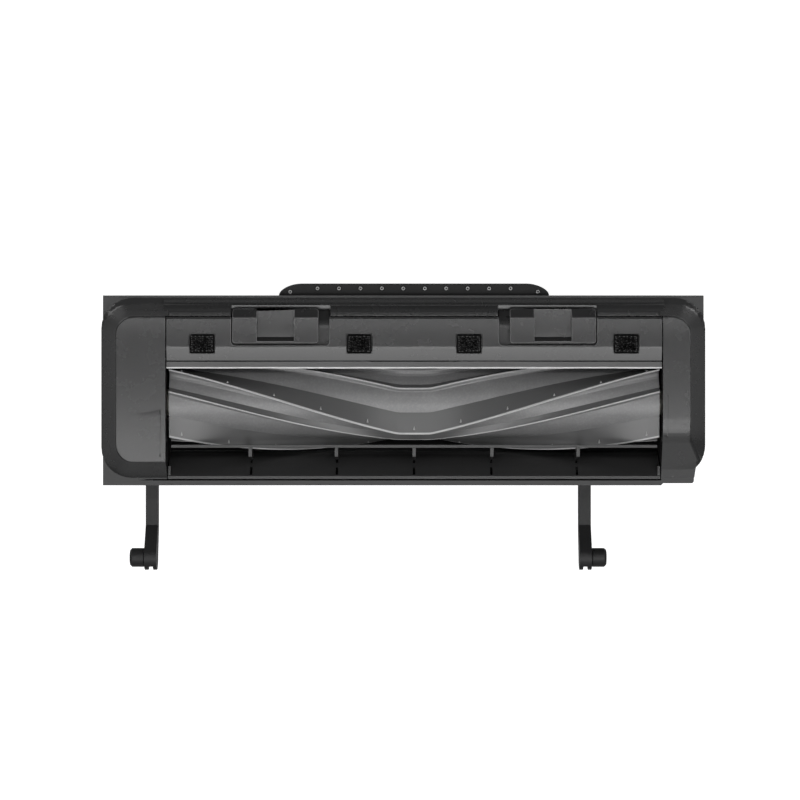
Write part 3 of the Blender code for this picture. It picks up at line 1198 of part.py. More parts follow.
def build_motor():
    """Can, magnets, end cap with its terminals."""
    motor = (MOTOR_Y, MOTOR_Z)
    right = MOTOR_LEFT + MOTOR_LENGTH
    can = prism("motor_can", motor_outline(), "X", MOTOR_LEFT, right, "steel")
    join(can, rod("can_boss", (MOTOR_LEFT - MOTOR_BOSS_LENGTH, MOTOR_LEFT + MOTOR_WALL / 2), motor,
                  MOTOR_BOSS_RADIUS, 14))
    cut(can, prism("can_space", motor_outline(MOTOR_WALL), "X", MOTOR_LEFT + MOTOR_WALL,
                   right + BITE))
    cut(can, rod("can_bore", (MOTOR_LEFT - MOTOR_BOSS_LENGTH - BITE, MOTOR_LEFT + 2 * BITE), motor,
                 SHAFT_RADIUS + FIT, 12))
    for side in (-1, 1):
        place = (MOTOR_Y, MOTOR_Z + side * MOTOR_SCREW_PLACE)
        cut(can, rod("can_thread", (MOTOR_LEFT - BITE, MOTOR_LEFT + 2 * BITE), place,
                     MOTOR_SCREW_RADIUS + FIT, 8))
    low = MOTOR_LEFT + ARMATURE_START
    reach = MOTOR_RADIUS - MOTOR_WALL - GAP
    for middle, word in ((0, "rear"), (180, "front")):
        spread = (middle - MAGNET_HALF_ANGLE, middle + MAGNET_HALF_ANGLE)
        outline = circle_part(motor, reach, *spread, 7)
        outline += circle_part(motor, MAGNET_RADIUS, *spread[::-1], 7)
        prism(f"motor_magnet_{word}", outline, "X", low, low + ARMATURE_LENGTH, "lower_plastic")
    cap_left = right + GAP
    prism("motor_end_cap", motor_outline(), "X", cap_left, cap_left + MOTOR_CAP, "insulator")
    start = cap_left + MOTOR_CAP + GAP
    for side, word in ((-1, "front"), (1, "rear")):
        y = MOTOR_Y + side * TERMINAL_PLACE
        box(f"motor_terminal_{word}", (start, start + TERMINAL_LENGTH),
            (y - TERMINAL_WIDTH / 2, y + TERMINAL_WIDTH / 2),
            (MOTOR_Z - TERMINAL_THICKNESS / 2, MOTOR_Z + TERMINAL_THICKNESS / 2), "bronze")


def build_gearbox():
    """Open-topped box for the gears with its screw posts and a front ledge for the left arm."""
    idler, motor = idler_place(), (MOTOR_Y, MOTOR_Z)
    gearbox = box("gearbox_housing", (GEARBOX_LEFT, GEARBOX_RIGHT),
                  (GEARBOX_FRONT_Y, GEARBOX_REAR_Y), (0, RIM_Z), "lower_plastic")
    skirt = FRONT_Y + SKIRT_INSET
    join(gearbox, box("front_ledge", (GEARBOX_LEFT, GEARBOX_RIGHT),
                      (skirt, GEARBOX_FRONT_Y + BITE), (FRONT_SHELF_Z - SHELF_THICKNESS,
                                                        FRONT_SHELF_Z)))
    cut(gearbox, box("gear_space", (GEARBOX_LEFT + GEARBOX_WALL,
                                    GEARBOX_RIGHT - GEARBOX_INNER_WALL),
                     (GEARBOX_FRONT_Y + GEARBOX_WALL, GEARBOX_REAR_Y - GEARBOX_WALL),
                     (GEARBOX_WALL, RIM_Z + BITE)))
    for place in block_screw_places()[:2]:
        join(gearbox, screw_boss(place, GEARBOX_WALL / 2, RIM_Z - FIT))
        cut_screw_way(gearbox, place)
    place = arm_screw_places()[0]
    join(gearbox, screw_boss(place, FRONT_SHELF_Z - BITE, FRONT_SHELF_Z + BOSS_HEIGHT))
    cut(gearbox, upright_hole(place, SCREW_RADIUS + FIT, ARM_TOP,
                              FRONT_SHELF_Z + BOSS_HEIGHT - BITE))
    through = (GEARBOX_LEFT - BITE, GEARBOX_RIGHT + BITE)
    outer_wall = (GEARBOX_LEFT - BITE, GEARBOX_LEFT + GEARBOX_WALL + BITE)
    inner_wall = (GEARBOX_RIGHT - GEARBOX_INNER_WALL - BITE, GEARBOX_RIGHT + BITE)
    cut(gearbox, rod("stub_hole", outer_wall, (AXIS_Y, AXIS_Z), STUB_RADIUS + FIT, 14),
        end_slot("bearing_slot", *inner_wall, BEARING_RADIUS + FIT),
        rod("axle_hole", through, idler, AXLE_RADIUS + FIT, 14),
        rod("boss_hole", inner_wall, motor, MOTOR_BOSS_RADIUS + FIT, 14))
    for side in (-1, 1):
        place = (MOTOR_Y, MOTOR_Z + side * MOTOR_SCREW_PLACE)
        cut(gearbox, rod("motor_screw_hole", inner_wall, place, MOTOR_SCREW_RADIUS + FIT, 8))
    return gearbox


def cut_screw_way(block, place):
    """Way for a screw from below: a wide hole for its head and a narrow one for its shank."""
    seat = PLATE_Z - POST_BELOW_PLATE
    cut(block, upright_hole(place, SCREW_HEAD_RADIUS + FIT, -BITE, seat),
        upright_hole(place, SCREW_RADIUS + FIT, seat - BITE, RIM_Z + BITE))


def build_bearing_block():
    """Block under the right cheek that carries the brush's end bearing."""
    block = box("bearing_block", (BEARING_LEFT, BLOCK_RIGHT),
                (AXIS_Y - BLOCK_HALF_DEPTH, AXIS_Y + BLOCK_HALF_DEPTH), (0, RIM_Z),
                "lower_plastic")
    cut(block, end_slot("end_bearing_slot", BEARING_LEFT - BITE,
                        BEARING_LEFT + END_BEARING_LENGTH + BLOCK_SEAT_LENGTH - BITE,
                        END_BEARING_RADIUS + FIT))
    for place in block_screw_places()[2:]:
        cut_screw_way(block, place)
    return block


def build_bearings():
    """Plain bushes of the output gear and the brush's right end, and the idler's axle."""
    axis = (AXIS_Y, AXIS_Z)
    left = GEARBOX_RIGHT - BEARING_LENGTH
    output = rod("output_bearing", (left, GEARBOX_RIGHT), axis, BEARING_RADIUS, 24, "bronze")
    cut(output, rod("output_bore", (left - BITE, GEARBOX_RIGHT + BITE), axis, HUB_RADIUS + FIT, 20))
    start = BEARING_LEFT + GAP
    end = rod("end_bearing", (start, start + END_BEARING_LENGTH), axis, END_BEARING_RADIUS, 20,
              "bronze")
    cut(end, rod("end_bore", (start - BITE, start + END_BEARING_LENGTH + BITE), axis,
                 STUB_SHAFT_RADIUS + FIT, 16))
    axle = rod("idler_axle", (GEARBOX_LEFT + GAP, GEARBOX_RIGHT - GAP), idler_place(),
               AXLE_RADIUS, 12, "steel")
    return output, end, axle


# Swing arms ----------------------------------------------------------------------------------

def arm_outline():
    """Arm seen from its side: a level bar, a kink upward and a round boss."""
    low, kink = ARM_TOP - ARM_THICKNESS, FRONT_Y - ARM_KINK
    boss = circle_part((PIVOT_Y, PIVOT_ABOVE_GROUND), BOSS_RADIUS, 55, 270, 12)
    return [(ARM_FOOT_Y, low), (ARM_FOOT_Y, ARM_TOP), (kink, ARM_TOP)] + boss + [
        (kink - ARM_THICKNESS / 3, low)]


def build_arm(name, middle, side):
    """Arm with its foot, the pin of its pivot and the fork at its tip."""
    x = (middle - ARM_WIDTH / 2, middle + ARM_WIDTH / 2)
    arm = prism(name, arm_outline(), "X", *x, "lower_plastic")
    foot = box("arm_foot", (middle - FOOT_LENGTH / 2, middle + FOOT_LENGTH / 2),
               (ARM_FOOT_Y - FOOT_DEPTH, ARM_FOOT_Y - FIT),
               (ARM_TOP - ARM_THICKNESS + FIT, ARM_TOP - FIT))
    edge = middle + side * ARM_WIDTH / 2
    pin = rod("pivot_pin", span(edge - side * BITE, edge + side * (BUSH_LENGTH - BITE)),
              (PIVOT_Y, PIVOT_ABOVE_GROUND), PIN_RADIUS, 14)
    join(arm, foot, pin)
    cut(arm, box("fork_slot", (middle - FORK_SLOT / 2, middle + FORK_SLOT / 2),
                 (PIVOT_Y - BOSS_RADIUS - BITE, PIVOT_Y - BOSS_RADIUS + FORK_DEPTH),
                 (PIVOT_ABOVE_GROUND - 2 * BOSS_RADIUS, PIVOT_ABOVE_GROUND + 2 * BOSS_RADIUS)))
    place = (middle, ARM_FOOT_Y - FOOT_DEPTH / 2)
    low = ARM_TOP - ARM_THICKNESS
    cut(arm, upright_hole(place, SCREW_RADIUS + FIT, low - BITE, ARM_TOP + BITE),
        upright_hole(place, SCREW_HEAD_RADIUS + FIT, low - BITE, low + HEAD_SINK))
    return arm


def build_bush(name, middle, side):
    """Bush that turns on an arm's pin, closed and chamfered at its outer end."""
    centre = (PIVOT_Y, PIVOT_ABOVE_GROUND)
    start = middle + side * (ARM_WIDTH / 2 + GAP)
    end = middle + side * (ARM_WIDTH / 2 + BUSH_LENGTH)
    profile = [(start, BUSH_RADIUS), (end - side * BUSH_CHAMFER, BUSH_RADIUS),
               (end, BUSH_RADIUS - BUSH_CHAMFER)]
    bush = turned(name, profile, centre, 20, "lower_plastic")
    cut(bush, rod("bush_bore", span(start - side * BITE, end - side * (BITE - GAP)), centre,
                  PIN_RADIUS + FIT, 14))
    pivot(f"{name}_pivot", (start, *centre), [bush])
    return bush


# Screws --------------------------------------------------------------------------------------

def screw(name, place, seat, length, direction):
    """Upright pan-head screw: the seat of its head is at a height, its shank runs from there."""
    rings = []
    for z, radius in ((seat - direction * SCREW_HEAD, SCREW_HEAD_RADIUS),
                      (seat, SCREW_HEAD_RADIUS), (seat, SCREW_RADIUS),
                      (seat + direction * length, SCREW_RADIUS)):
        rings.append([(x, y, z) for x, y in circle(place, radius, 12)])
    return loft(name, rings, "steel")


def build_screws():
    """Screws of the gearbox and block, of the chamber, of the arms and of the motor."""
    seat = PLATE_Z - POST_BELOW_PLATE - GAP
    for number, place in enumerate(block_screw_places(), start=1):
        screw(f"housing_screw_{number}", place, seat, HOUSING_SCREW_LENGTH, 1)
    for number, place in enumerate(deck_screw_places(), start=1):
        screw(f"deck_screw_{number}", place, FLANGE_Z + GAP, DECK_SCREW_LENGTH, -1)
    seat = ARM_TOP - ARM_THICKNESS + HEAD_SINK - GAP
    for number, place in enumerate(arm_screw_places(), start=1):
        screw(f"arm_screw_{number}", place, seat, SCREW_LENGTH, 1)
    seat = GEARBOX_RIGHT - GEARBOX_INNER_WALL - GAP
    for number, side in enumerate((-1, 1), start=1):
        place = (MOTOR_Y, MOTOR_Z + side * MOTOR_SCREW_PLACE)
        profile = [(seat - SCREW_HEAD, MOTOR_SCREW_HEAD), (seat, MOTOR_SCREW_HEAD),
                   (seat, MOTOR_SCREW_RADIUS), (seat + MOTOR_SCREW_LENGTH, MOTOR_SCREW_RADIUS)]
        turned(f"motor_screw_{number}", profile, place, 10, "steel")


# Assembly ------------------------------------------------------------------------------------

def clear_scene():
    """Remove whatever the scene holds."""
    for item in list(bpy.data.objects):
        bpy.data.objects.remove(item, do_unlink=True)


def main():
    """Build every piece and hang the moving ones on their joints' axes."""
    clear_scene()
    build_frame()
    build_chamber()
    build_duct_seal()
    build_guard()
    cover = [build_cover(), build_wiper()] + build_pads()
    pivot("cover", (OPENING_OFFSET, AXIS_Y, FACE_Z), cover)
    for side, word in ((-1, "left"), (1, "right")):
        latch = build_latch(side, f"latch_{word}")
        spring = build_latch_spring(side, f"latch_spring_{word}")
        middle = sum(latch_span(side)) / 2
        pivot(f"latch_{word}_slide", (middle, AXIS_Y + LATCH_FRONT, FACE_Z), [latch, spring])
    build_brush()
    _, _, pinion = build_gears()
    build_rotor(pinion)
    build_motor()
    build_gearbox()
    build_bearing_block()
    build_bearings()
    for side, word, place in ((-1, "left", LEFT_ARM_X), (1, "right", RIGHT_ARM_X)):
        build_arm(f"swing_arm_{word}", place, side)
        build_bush(f"pivot_bush_{word}", place, side)
    build_screws()
    for item in bpy.context.collection.objects:
        if item.type == "MESH" and not item.hide_render:
            smooth(item)


main()
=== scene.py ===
"""Looks of a robot vacuum's floating main brush module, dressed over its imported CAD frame.

Every piece is in metres, in the frame of the CAD model: X along the brush, +Y towards the suction
duct, +Z out of the brush opening. Each sub-assembly is a class with its sizes as fields. It builds
its own meshes with numpy and dresses them with its finishes.
"""
from __future__ import annotations

import json
import logging
import math
from dataclasses import dataclass, field
from enum import Enum
from typing import Iterable, Sequence

import bmesh
import bpy
import numpy as np
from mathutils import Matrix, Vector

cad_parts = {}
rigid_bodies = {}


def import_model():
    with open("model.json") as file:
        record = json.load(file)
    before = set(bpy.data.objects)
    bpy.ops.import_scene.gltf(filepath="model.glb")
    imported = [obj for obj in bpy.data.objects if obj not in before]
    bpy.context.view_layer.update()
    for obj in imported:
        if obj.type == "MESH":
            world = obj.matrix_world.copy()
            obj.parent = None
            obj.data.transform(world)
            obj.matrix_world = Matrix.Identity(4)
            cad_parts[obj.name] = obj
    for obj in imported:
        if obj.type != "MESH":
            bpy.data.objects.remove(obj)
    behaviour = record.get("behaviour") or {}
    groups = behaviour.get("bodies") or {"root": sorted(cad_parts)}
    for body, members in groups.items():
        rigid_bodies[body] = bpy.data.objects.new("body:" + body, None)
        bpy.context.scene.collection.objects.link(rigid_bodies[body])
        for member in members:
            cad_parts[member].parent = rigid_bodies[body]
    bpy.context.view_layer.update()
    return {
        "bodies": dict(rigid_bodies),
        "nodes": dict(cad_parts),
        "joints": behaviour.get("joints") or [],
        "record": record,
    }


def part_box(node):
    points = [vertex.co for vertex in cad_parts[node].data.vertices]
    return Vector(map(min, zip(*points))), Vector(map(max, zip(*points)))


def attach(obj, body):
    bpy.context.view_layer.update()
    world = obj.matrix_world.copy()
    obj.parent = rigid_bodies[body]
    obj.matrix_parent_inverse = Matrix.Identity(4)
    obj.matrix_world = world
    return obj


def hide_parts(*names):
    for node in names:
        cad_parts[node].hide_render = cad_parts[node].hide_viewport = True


LOG = logging.getLogger("brush_module")
MM = 0.001
Array = np.ndarray
Colour = tuple[float, float, float]
Socket = bpy.types.NodeSocket

FACE_Z = 42.5 * MM           # the raised floor face
FLANGE_Z = 34.5 * MM         # the flange's face
CROWN_REAR = 32.0 * MM       # where the floor face begins to roll off towards the duct
CROWN_FRONT = 27.0 * MM      # and where it begins to fall towards the front
CROWN_REAR_CURVE = 7.0       # 1/m
CROWN_FRONT_CURVE = 0.5      # 1/m
CROWN_CUTS = np.linspace(-16 * MM, 41 * MM, 18)    # Y of the cuts that let a face bend
SHOULDER_REAR = 8.0 * MM     # shoulder's seam in front of the flange's rear edge
SHOULDER_REACH = 6.4 * MM    # the shoulder's round is a quarter ellipse
SHOULDER_RISE = 5.0 * MM     # and this high
SHOULDER_TOE = 7.0 * MM      # foot of the shoulder behind the seam
SHOULDER_EASED = 7.6 * MM    # and its foot once it is eased
SHOULDER_CUTS = np.linspace(0.3, 7.5, 14) * MM     # cuts behind the seam
TOE_START = 0.978            # share of the reach where the toe takes over from the ellipse
TOE_RISE = 1.1 * MM          # a little over the toe's height
CHEEK_RIGHT = 97.9 * MM      # inner side of the right cheek
RAMP_TOP = (-5.35 * MM, 7.2 * MM)      # that cheek's ramp: Y and height over the flange
RAMP_FOOT = (-15.72 * MM, 1.28 * MM)
ROLL_START = 3.6 * MM        # where its face begins to roll towards the ramp
ROLL_CURVE = 42.0            # 1/m
ROLL_CUTS = np.linspace(RAMP_TOP[0], ROLL_START, 12)
EASE_BESIDE = 0.5 * MM       # how far past the cover's sides the shoulder is eased
EASE_ABOVE = 0.06 * MM       # how far over its crest a point still is the shoulder's
EASE_POWER = 1.35            # above 1, so that the eased shoulder is steepest past its middle
EASE_MOST = 1.5              # most that a height of the shoulder is multiplied by
SEAM_SLACK = 1e-6            # a point this far in front of the seam lies on it, in metres
FLANGE_SLACK = 5e-6          # and one this far over the flange lies on that
FLANGE_BAND = 0.05 * MM      # a level face this close to the flange's height is its own
LEVEL = 0.99                 # least Z of a level face's normal
HARD_EDGE = math.radians(28)     # sharper edges are softened
SHARP_EDGE = 35.0            # degrees: sharper edges are shaded as edges
FLAT_EDGE = math.radians(0.6)    # duller edges are dissolved
BEVEL_ROOM = 2.15            # shortest edge beside a softened one, over the softened width
CRISP = (-20.3 * MM, -19.2 * MM)     # the narrow groove along the front keeps its hard edges
RIM_FRONT = 30.7 * MM        # rims with a painted highlight lie behind this
LENGTH_ROWS = 241            # sections along the roller and the wiper
ROUGHNESS_DRIFT = 0.008      # how far a finish's roughness drifts either way
DOUBLE = 1e-7                # points of a new mesh this close are one, in metres
CAD_DOUBLE = 2e-6            # and those of a CAD node


# Finishes --------------------------------------------------------------------------------------

class Grain(Enum):
    """Kinds of surface that a finish can have."""

    MOULDED = "fine spark-eroded mould texture"
    RUBBER = "satin rubber with faint flow lines"
    PILE = "short fibres"
    ACETAL = "smooth slightly waxy plastic"
    METAL = "drawn or rolled metal"


GRAIN_ALONG = {Grain.RUBBER: 0.08, Grain.METAL: 0.04}    # scale of a drawn-out grain along X


@dataclass(frozen=True)
class Finish:
    """One surface finish and the nodes that make it.

    Attributes:
        name: the CAD model's material slot.
        colour: base colour, linear RGB.
        roughness: middle roughness.
        grain: kind of texture.
        grain_size: size of one grain in metres.
        grain_depth: depth of the grain in metres.
        mottle: share by which the colour drifts over the surface.
        wear_and_painted_light: share of lighter handling marks.
        metallic: 0 or 1.
        specular: specular level of the shader.
        title: the material's name, where a slot has two finishes.
        painted_light: colour of the painted highlight where the piece's painted_light attribute is
            1, or None.
        painted_shade: share of the base colour kept where that attribute is -1, a painted shade.
        matte: what is added to the roughness where it is -1.
    """

    name: str
    colour: Colour
    roughness: float
    grain: Grain = Grain.MOULDED
    grain_size: float = 0.35 * MM
    grain_depth: float = 0.02 * MM
    mottle: float = 0.06
    wear_and_painted_light: float = 0.08
    metallic: float = 0.0
    specular: float = 0.5
    # A painted highlight colour, and the share of the base colour kept under a painted shade.
    painted_light: Colour | None = None
    painted_shade: float = 1.0
    matte: float = 0.0
    title: str = ""

    def material(self) -> bpy.types.Material:
        """The finish's material, made the first time it is asked for.

        Returns:
            The material.
        """
        title = f"{self.title or self.name}_finish"
        found = bpy.data.materials.get(title)
        if found:
            return found
        made = bpy.data.materials.new(title)
        made.use_nodes = True
        made.diffuse_color = (*self.colour, 1.0)
        tree = NodeTree(made.node_tree)
        shader = made.node_tree.nodes["Principled BSDF"]
        shader.inputs["Metallic"].default_value = self.metallic
        shader.inputs["Specular IOR Level"].default_value = self.specular
        place = tree.add("ShaderNodeTexCoord").outputs["Object"]
        tree.link(self._colour(tree, place), shader.inputs["Base Color"])
        tree.link(self._roughness(tree, place), shader.inputs["Roughness"])
        tree.link(self._bump(tree, place), shader.inputs["Normal"])
        return made

    def _colour(self, tree: "NodeTree", place: Socket) -> Socket:
        """Base colour: a slow drift, a fine speckle, lighter marks where it is handled, and
        painted light.

        Args:
            tree: the material's nodes.
            place: coordinates on the piece.

        Returns:
            The colour.
        """
        drift = tree.noise(place, 14 * MM, 3.0, 0.55)
        speckle = tree.noise(place, self.grain_size * 1.6, 2.0, 0.6)
        dark = tuple(c * (1 - self.mottle) for c in self.colour)
        light = tuple(min(1.0, c * (1 + self.mottle)) for c in self.colour)
        base = tree.mix(tree.spread(drift, 0.35, 0.65), dark, light)
        fine = tree.mix(tree.spread(speckle, 0.4, 0.75), (0.94,) * 3, (1.1,) * 3)
        base = tree.mix(1.0, base, fine, "MULTIPLY")
        marks = tree.noise(tree.scaled(place, (0.25, 1.0, 0.6)), 2.2 * MM, 5.0, 0.7)
        marks = tree.spread(marks, 0.62, 0.76, high=self.wear_and_painted_light)
        pale = tuple(min(1.0, c * 1.5 + 0.02) for c in self.colour)
        base = tree.mix(marks, base, pale)
        if self.painted_light is None:
            return base
        # Painted light: a painted highlight where the attribute is 1, broken up by noise, and a
        # painted shade where it is -1.
        edge = tree.painted_light()
        highlight_share = tree.noise(place, 3 * MM, 3.0, 0.6)
        share = tree.spread(highlight_share, 0.1, 0.6, 0.75, 1.0)
        mixed = tree.mix(share, (0.0, 0.0, 0.0), edge.outputs["Color"])
        under = tree.spread(edge.outputs["Fac"], 0.0, -1.0)
        base = tree.mix(under, base, tuple(c * self.painted_shade for c in self.colour))
        return tree.mix(mixed, base, self.painted_light)

    def _roughness(self, tree: "NodeTree", place: Socket) -> Socket:
        """Roughness drifts a little round its middle value in slow patches.

        Args:
            tree: the material's nodes.
            place: coordinates on the piece.

        Returns:
            The roughness.
        """
        drift = tree.noise(place, 9 * MM, 4.0, 0.6)
        drift = tree.spread(drift, 0.3, 0.7, self.roughness - ROUGHNESS_DRIFT,
                            self.roughness + ROUGHNESS_DRIFT)
        if not self.matte:
            return drift
        rougher = tree.spread(tree.painted_light().outputs["Fac"], 0.0, -1.0, 0.0, self.matte)
        return tree.total(drift, rougher)

    def _bump(self, tree: "NodeTree", place: Socket) -> Socket:
        """Grain as a bump, drawn out along X on rubber and metal, over a very slow wave.

        Args:
            tree: the material's nodes.
            place: coordinates on the piece.

        Returns:
            The normal.
        """
        stretch = (GRAIN_ALONG.get(self.grain, 1.0), 1.0, 1.0)
        fine = tree.noise(tree.scaled(place, stretch), self.grain_size, 3.0, 0.6)
        slow = tree.noise(place, 30 * MM, 1.0, 0.4)
        grain = tree.bump(fine, 0.5, self.grain_depth)
        return tree.bump(slow, 0.2, 0.01 * MM, grain)


class NodeTree:
    """Short names for adding and joining shader nodes."""

    def __init__(self, tree: bpy.types.NodeTree) -> None:
        """Keep the tree to add to."""
        self.tree = tree

    def add(self, kind: str) -> bpy.types.Node:
        """A new node of a kind."""
        return self.tree.nodes.new(kind)

    def link(self, source: Socket, target: Socket) -> None:
        """Join an output to an input."""
        self.tree.links.new(source, target)

    def painted_light(self) -> bpy.types.Node:
        """The piece's own painted_light attribute: a painted highlight at 1, a painted shade and a
        more matte finish at -1.

        Returns:
            The attribute's node.
        """
        node = self.add("ShaderNodeAttribute")
        node.attribute_name = "painted_light"
        return node

    def total(self, first: Socket, second: Socket) -> Socket:
        """Two values added.

        Args:
            first: one value.
            second: the other.

        Returns:
            Their sum.
        """
        node = self.add("ShaderNodeMath")
        self.link(first, node.inputs[0])
        self.link(second, node.inputs[1])
        return node.outputs[0]

    def noise(self, place: Socket, size: float, detail: float, roughness: float) -> Socket:
        """Fractal noise.

        Args:
            place: coordinates.
            size: size of its features in metres.
            detail: number of finer layers.
            roughness: strength of each finer layer over the last.

        Returns:
            The noise, from 0 to 1.
        """
        node = self.add("ShaderNodeTexNoise")
        node.inputs["Scale"].default_value = 1 / size
        node.inputs["Detail"].default_value = detail
        node.inputs["Roughness"].default_value = roughness
        self.link(place, node.inputs["Vector"])
        return node.outputs["Fac"]

    def scaled(self, place: Socket, scale: tuple[float, float, float]) -> Socket:
        """Coordinates scaled along each axis.

        Args:
            place: coordinates.
            scale: scale along X, Y and Z.

        Returns:
            The scaled coordinates.
        """
        node = self.add("ShaderNodeMapping")
        node.inputs["Scale"].default_value = scale
        self.link(place, node.inputs["Vector"])
        return node.outputs["Vector"]

    def spread(self, value: Socket, start: float, end: float, low: float = 0.0,
               high: float = 1.0) -> Socket:
        """A value mapped smoothly from one range to another.

        Args:
            value: the value.
            start: start of its range.
            end: end of its range.
            low: what the start becomes.
            high: what the end becomes.

        Returns:
            The mapped value.
        """
        node = self.add("ShaderNodeMapRange")
        node.interpolation_type = "SMOOTHSTEP"
        for name, number in (("From Min", start), ("From Max", end), ("To Min", low),
                             ("To Max", high)):
            node.inputs[name].default_value = number
        self.link(value, node.inputs["Value"])
        return node.outputs["Result"]

    def mix(self, share: float | Socket, first: Colour | Socket, second: Colour | Socket,
            blend: str = "MIX") -> Socket:
        """Mix two colours.

        Args:
            share: share of the second, from 0 to 1.
            first: colour at 0.
            second: colour at 1.
            blend: kind of mix.

        Returns:
            The mixed colour.
        """
        node = self.add("ShaderNodeMix")
        node.data_type = "RGBA"
        node.blend_type = blend
        for index, value in ((0, share), (6, first), (7, second)):
            if isinstance(value, Socket):
                self.link(value, node.inputs[index])
            elif isinstance(value, tuple):
                node.inputs[index].default_value = (*value, 1.0)
            else:
                node.inputs[index].default_value = value
        return node.outputs[2]

    def camera_only(self, low: float, high: float, target: Socket) -> None:
        """Give an input one value where the camera sees it directly, and another elsewhere.

        Args:
            low: the value elsewhere.
            high: the value where the camera sees it.
            target: the input.
        """
        ray = self.add("ShaderNodeLightPath")
        seen = self.add("ShaderNodeMapRange")
        seen.inputs["To Min"].default_value = low
        seen.inputs["To Max"].default_value = high
        self.link(ray.outputs["Is Camera Ray"], seen.inputs["Value"])
        self.link(seen.outputs["Result"], target)

    def bump(self, height: Socket, strength: float, distance: float,
             under: Socket | None = None) -> Socket:
        """Bump from a height, on top of another normal if one is given.

        Args:
            height: height from 0 to 1.
            strength: strength of the bump, from 0 to 1.
            distance: what a height of 1 stands for, in metres.
            under: the other normal.

        Returns:
            The normal.
        """
        node = self.add("ShaderNodeBump")
        node.inputs["Strength"].default_value = strength
        node.inputs["Distance"].default_value = distance
        self.link(height, node.inputs["Height"])
        if under is not None:
            self.link(under, node.inputs["Normal"])
        return node.outputs["Normal"]


# Body plastic: its lighter colour is a painted highlight on softened edges and recess rims.
BODY = Finish("body_plastic", (0.021, 0.0211, 0.0214), 0.27, grain_depth=0.004 * MM, mottle=0.01,
              wear_and_painted_light=0.01, matte=0.3, painted_light=(0.12, 0.12, 0.121))
GUARD = Finish("body_plastic", (0.015, 0.0151, 0.0153), 0.45, grain_depth=0.004 * MM,
               mottle=0.02, wear_and_painted_light=0.02, title="guard_plastic")
LOWER = Finish("lower_plastic", (0.012, 0.012, 0.0124), 0.42, grain_depth=0.006 * MM,
               specular=0.22)
# Brush rubber: its lighter colour is a painted highlight on the fin tips and nubs, and the fins'
# rear sides keep only part of the base colour as a painted shade.
ROLLER = Finish("brush_rubber", (0.128, 0.128, 0.129), 0.36, Grain.RUBBER, 0.5 * MM,
                0.006 * MM, mottle=0.05, wear_and_painted_light=0.05, painted_light=(0.36, 0.36, 0.36), painted_shade=0.55)
# Wiper rubber: its near-white colour is a painted highlight along the free edge.
LIP = Finish("brush_rubber", (0.05, 0.05, 0.0505), 0.36, Grain.RUBBER, 0.5 * MM, 0.006 * MM,
             mottle=0.05, wear_and_painted_light=0.04, painted_light=(0.85, 0.85, 0.85), title="wiper_rubber")
# Seal rubber: its lighter colour is a painted highlight on the eyelets' rims.
SEAL = Finish("seal_rubber", (0.009, 0.009, 0.0092), 0.6, Grain.RUBBER, 0.4 * MM, 0.006 * MM,
              specular=0.2, painted_light=(0.3, 0.3, 0.3))
# Pile: its lighter colour is a painted highlight on the tufts' tips.
FIBRE = Finish("pile_fabric", (0.003, 0.003, 0.003), 0.9, Grain.PILE, 0.2 * MM, 0.02 * MM,
               mottle=0.5, wear_and_painted_light=0.02, specular=0.02, painted_light=(0.075, 0.075, 0.075))
NATURAL = Finish("gear_plastic", (0.62, 0.6, 0.55), 0.42, Grain.ACETAL, 0.6 * MM, 0.008 * MM,
                 mottle=0.03, wear_and_painted_light=0.05)
STEEL = Finish("steel", (0.6, 0.6, 0.6), 0.3, Grain.METAL, 0.25 * MM, 0.01 * MM, mottle=0.04,
               metallic=1.0)
BRONZE = Finish("bronze", (0.5, 0.34, 0.16), 0.4, Grain.METAL, 0.2 * MM, 0.015 * MM,
                metallic=1.0)
CREAM = Finish("insulator", (0.7, 0.68, 0.62), 0.5, Grain.MOULDED, 0.4 * MM, 0.012 * MM,
               mottle=0.03)


# Surfaces --------------------------------------------------------------------------------------

@dataclass
class Surface:
    """Points and faces of one mesh, which others can be added to.

    Attributes:
        points: array of n points by 3.
        faces: tuples of point numbers.
        painted_light: painted light at each point, from -1, a painted shade, to 1, a painted
            highlight, or nothing. At -1 a finish also turns more matte.
    """

    points: Array = field(default_factory=lambda: np.zeros((0, 3)))
    faces: list[tuple[int, ...]] = field(default_factory=list)
    painted_light: Array | None = None

    def add(self, other: "Surface") -> None:
        """Add another surface's points and faces.

        Args:
            other: the other surface.
        """
        start = len(self.points)
        if self.painted_light is not None or other.painted_light is not None:
            self.painted_light = np.concatenate([s._painted_light_values() for s in (self, other)])
        self.points = np.vstack([self.points, other.points])
        self.faces += [tuple(i + start for i in face) for face in other.faces]

    def _painted_light_values(self) -> Array:
        """Painted light of each point, zeros where none was given."""
        return np.zeros(len(self.points)) if self.painted_light is None else self.painted_light


def grid(points: Array, caps: bool = True) -> Surface:
    """Skin over a grid of points whose rows close on themselves: quads between neighbours, and a
    flat face over each end.

    Args:
        points: rows by columns by 3. Each row is a section of the shape.
        caps: whether the first and last rows are filled.

    Returns:
        The surface.
    """
    rows, columns = points.shape[:2]
    index = np.arange(rows * columns).reshape(rows, columns)
    ahead = np.roll(index, -1, axis=1)
    quads = np.stack([index[:-1], ahead[:-1], ahead[1:], index[1:]], axis=-1).reshape(-1, 4)
    faces = [tuple(q) for q in quads.tolist()]
    if caps:
        faces.append(tuple(range(columns))[::-1])
        faces.append(tuple(range((rows - 1) * columns, rows * columns)))
    return Surface(points.reshape(-1, 3), faces)


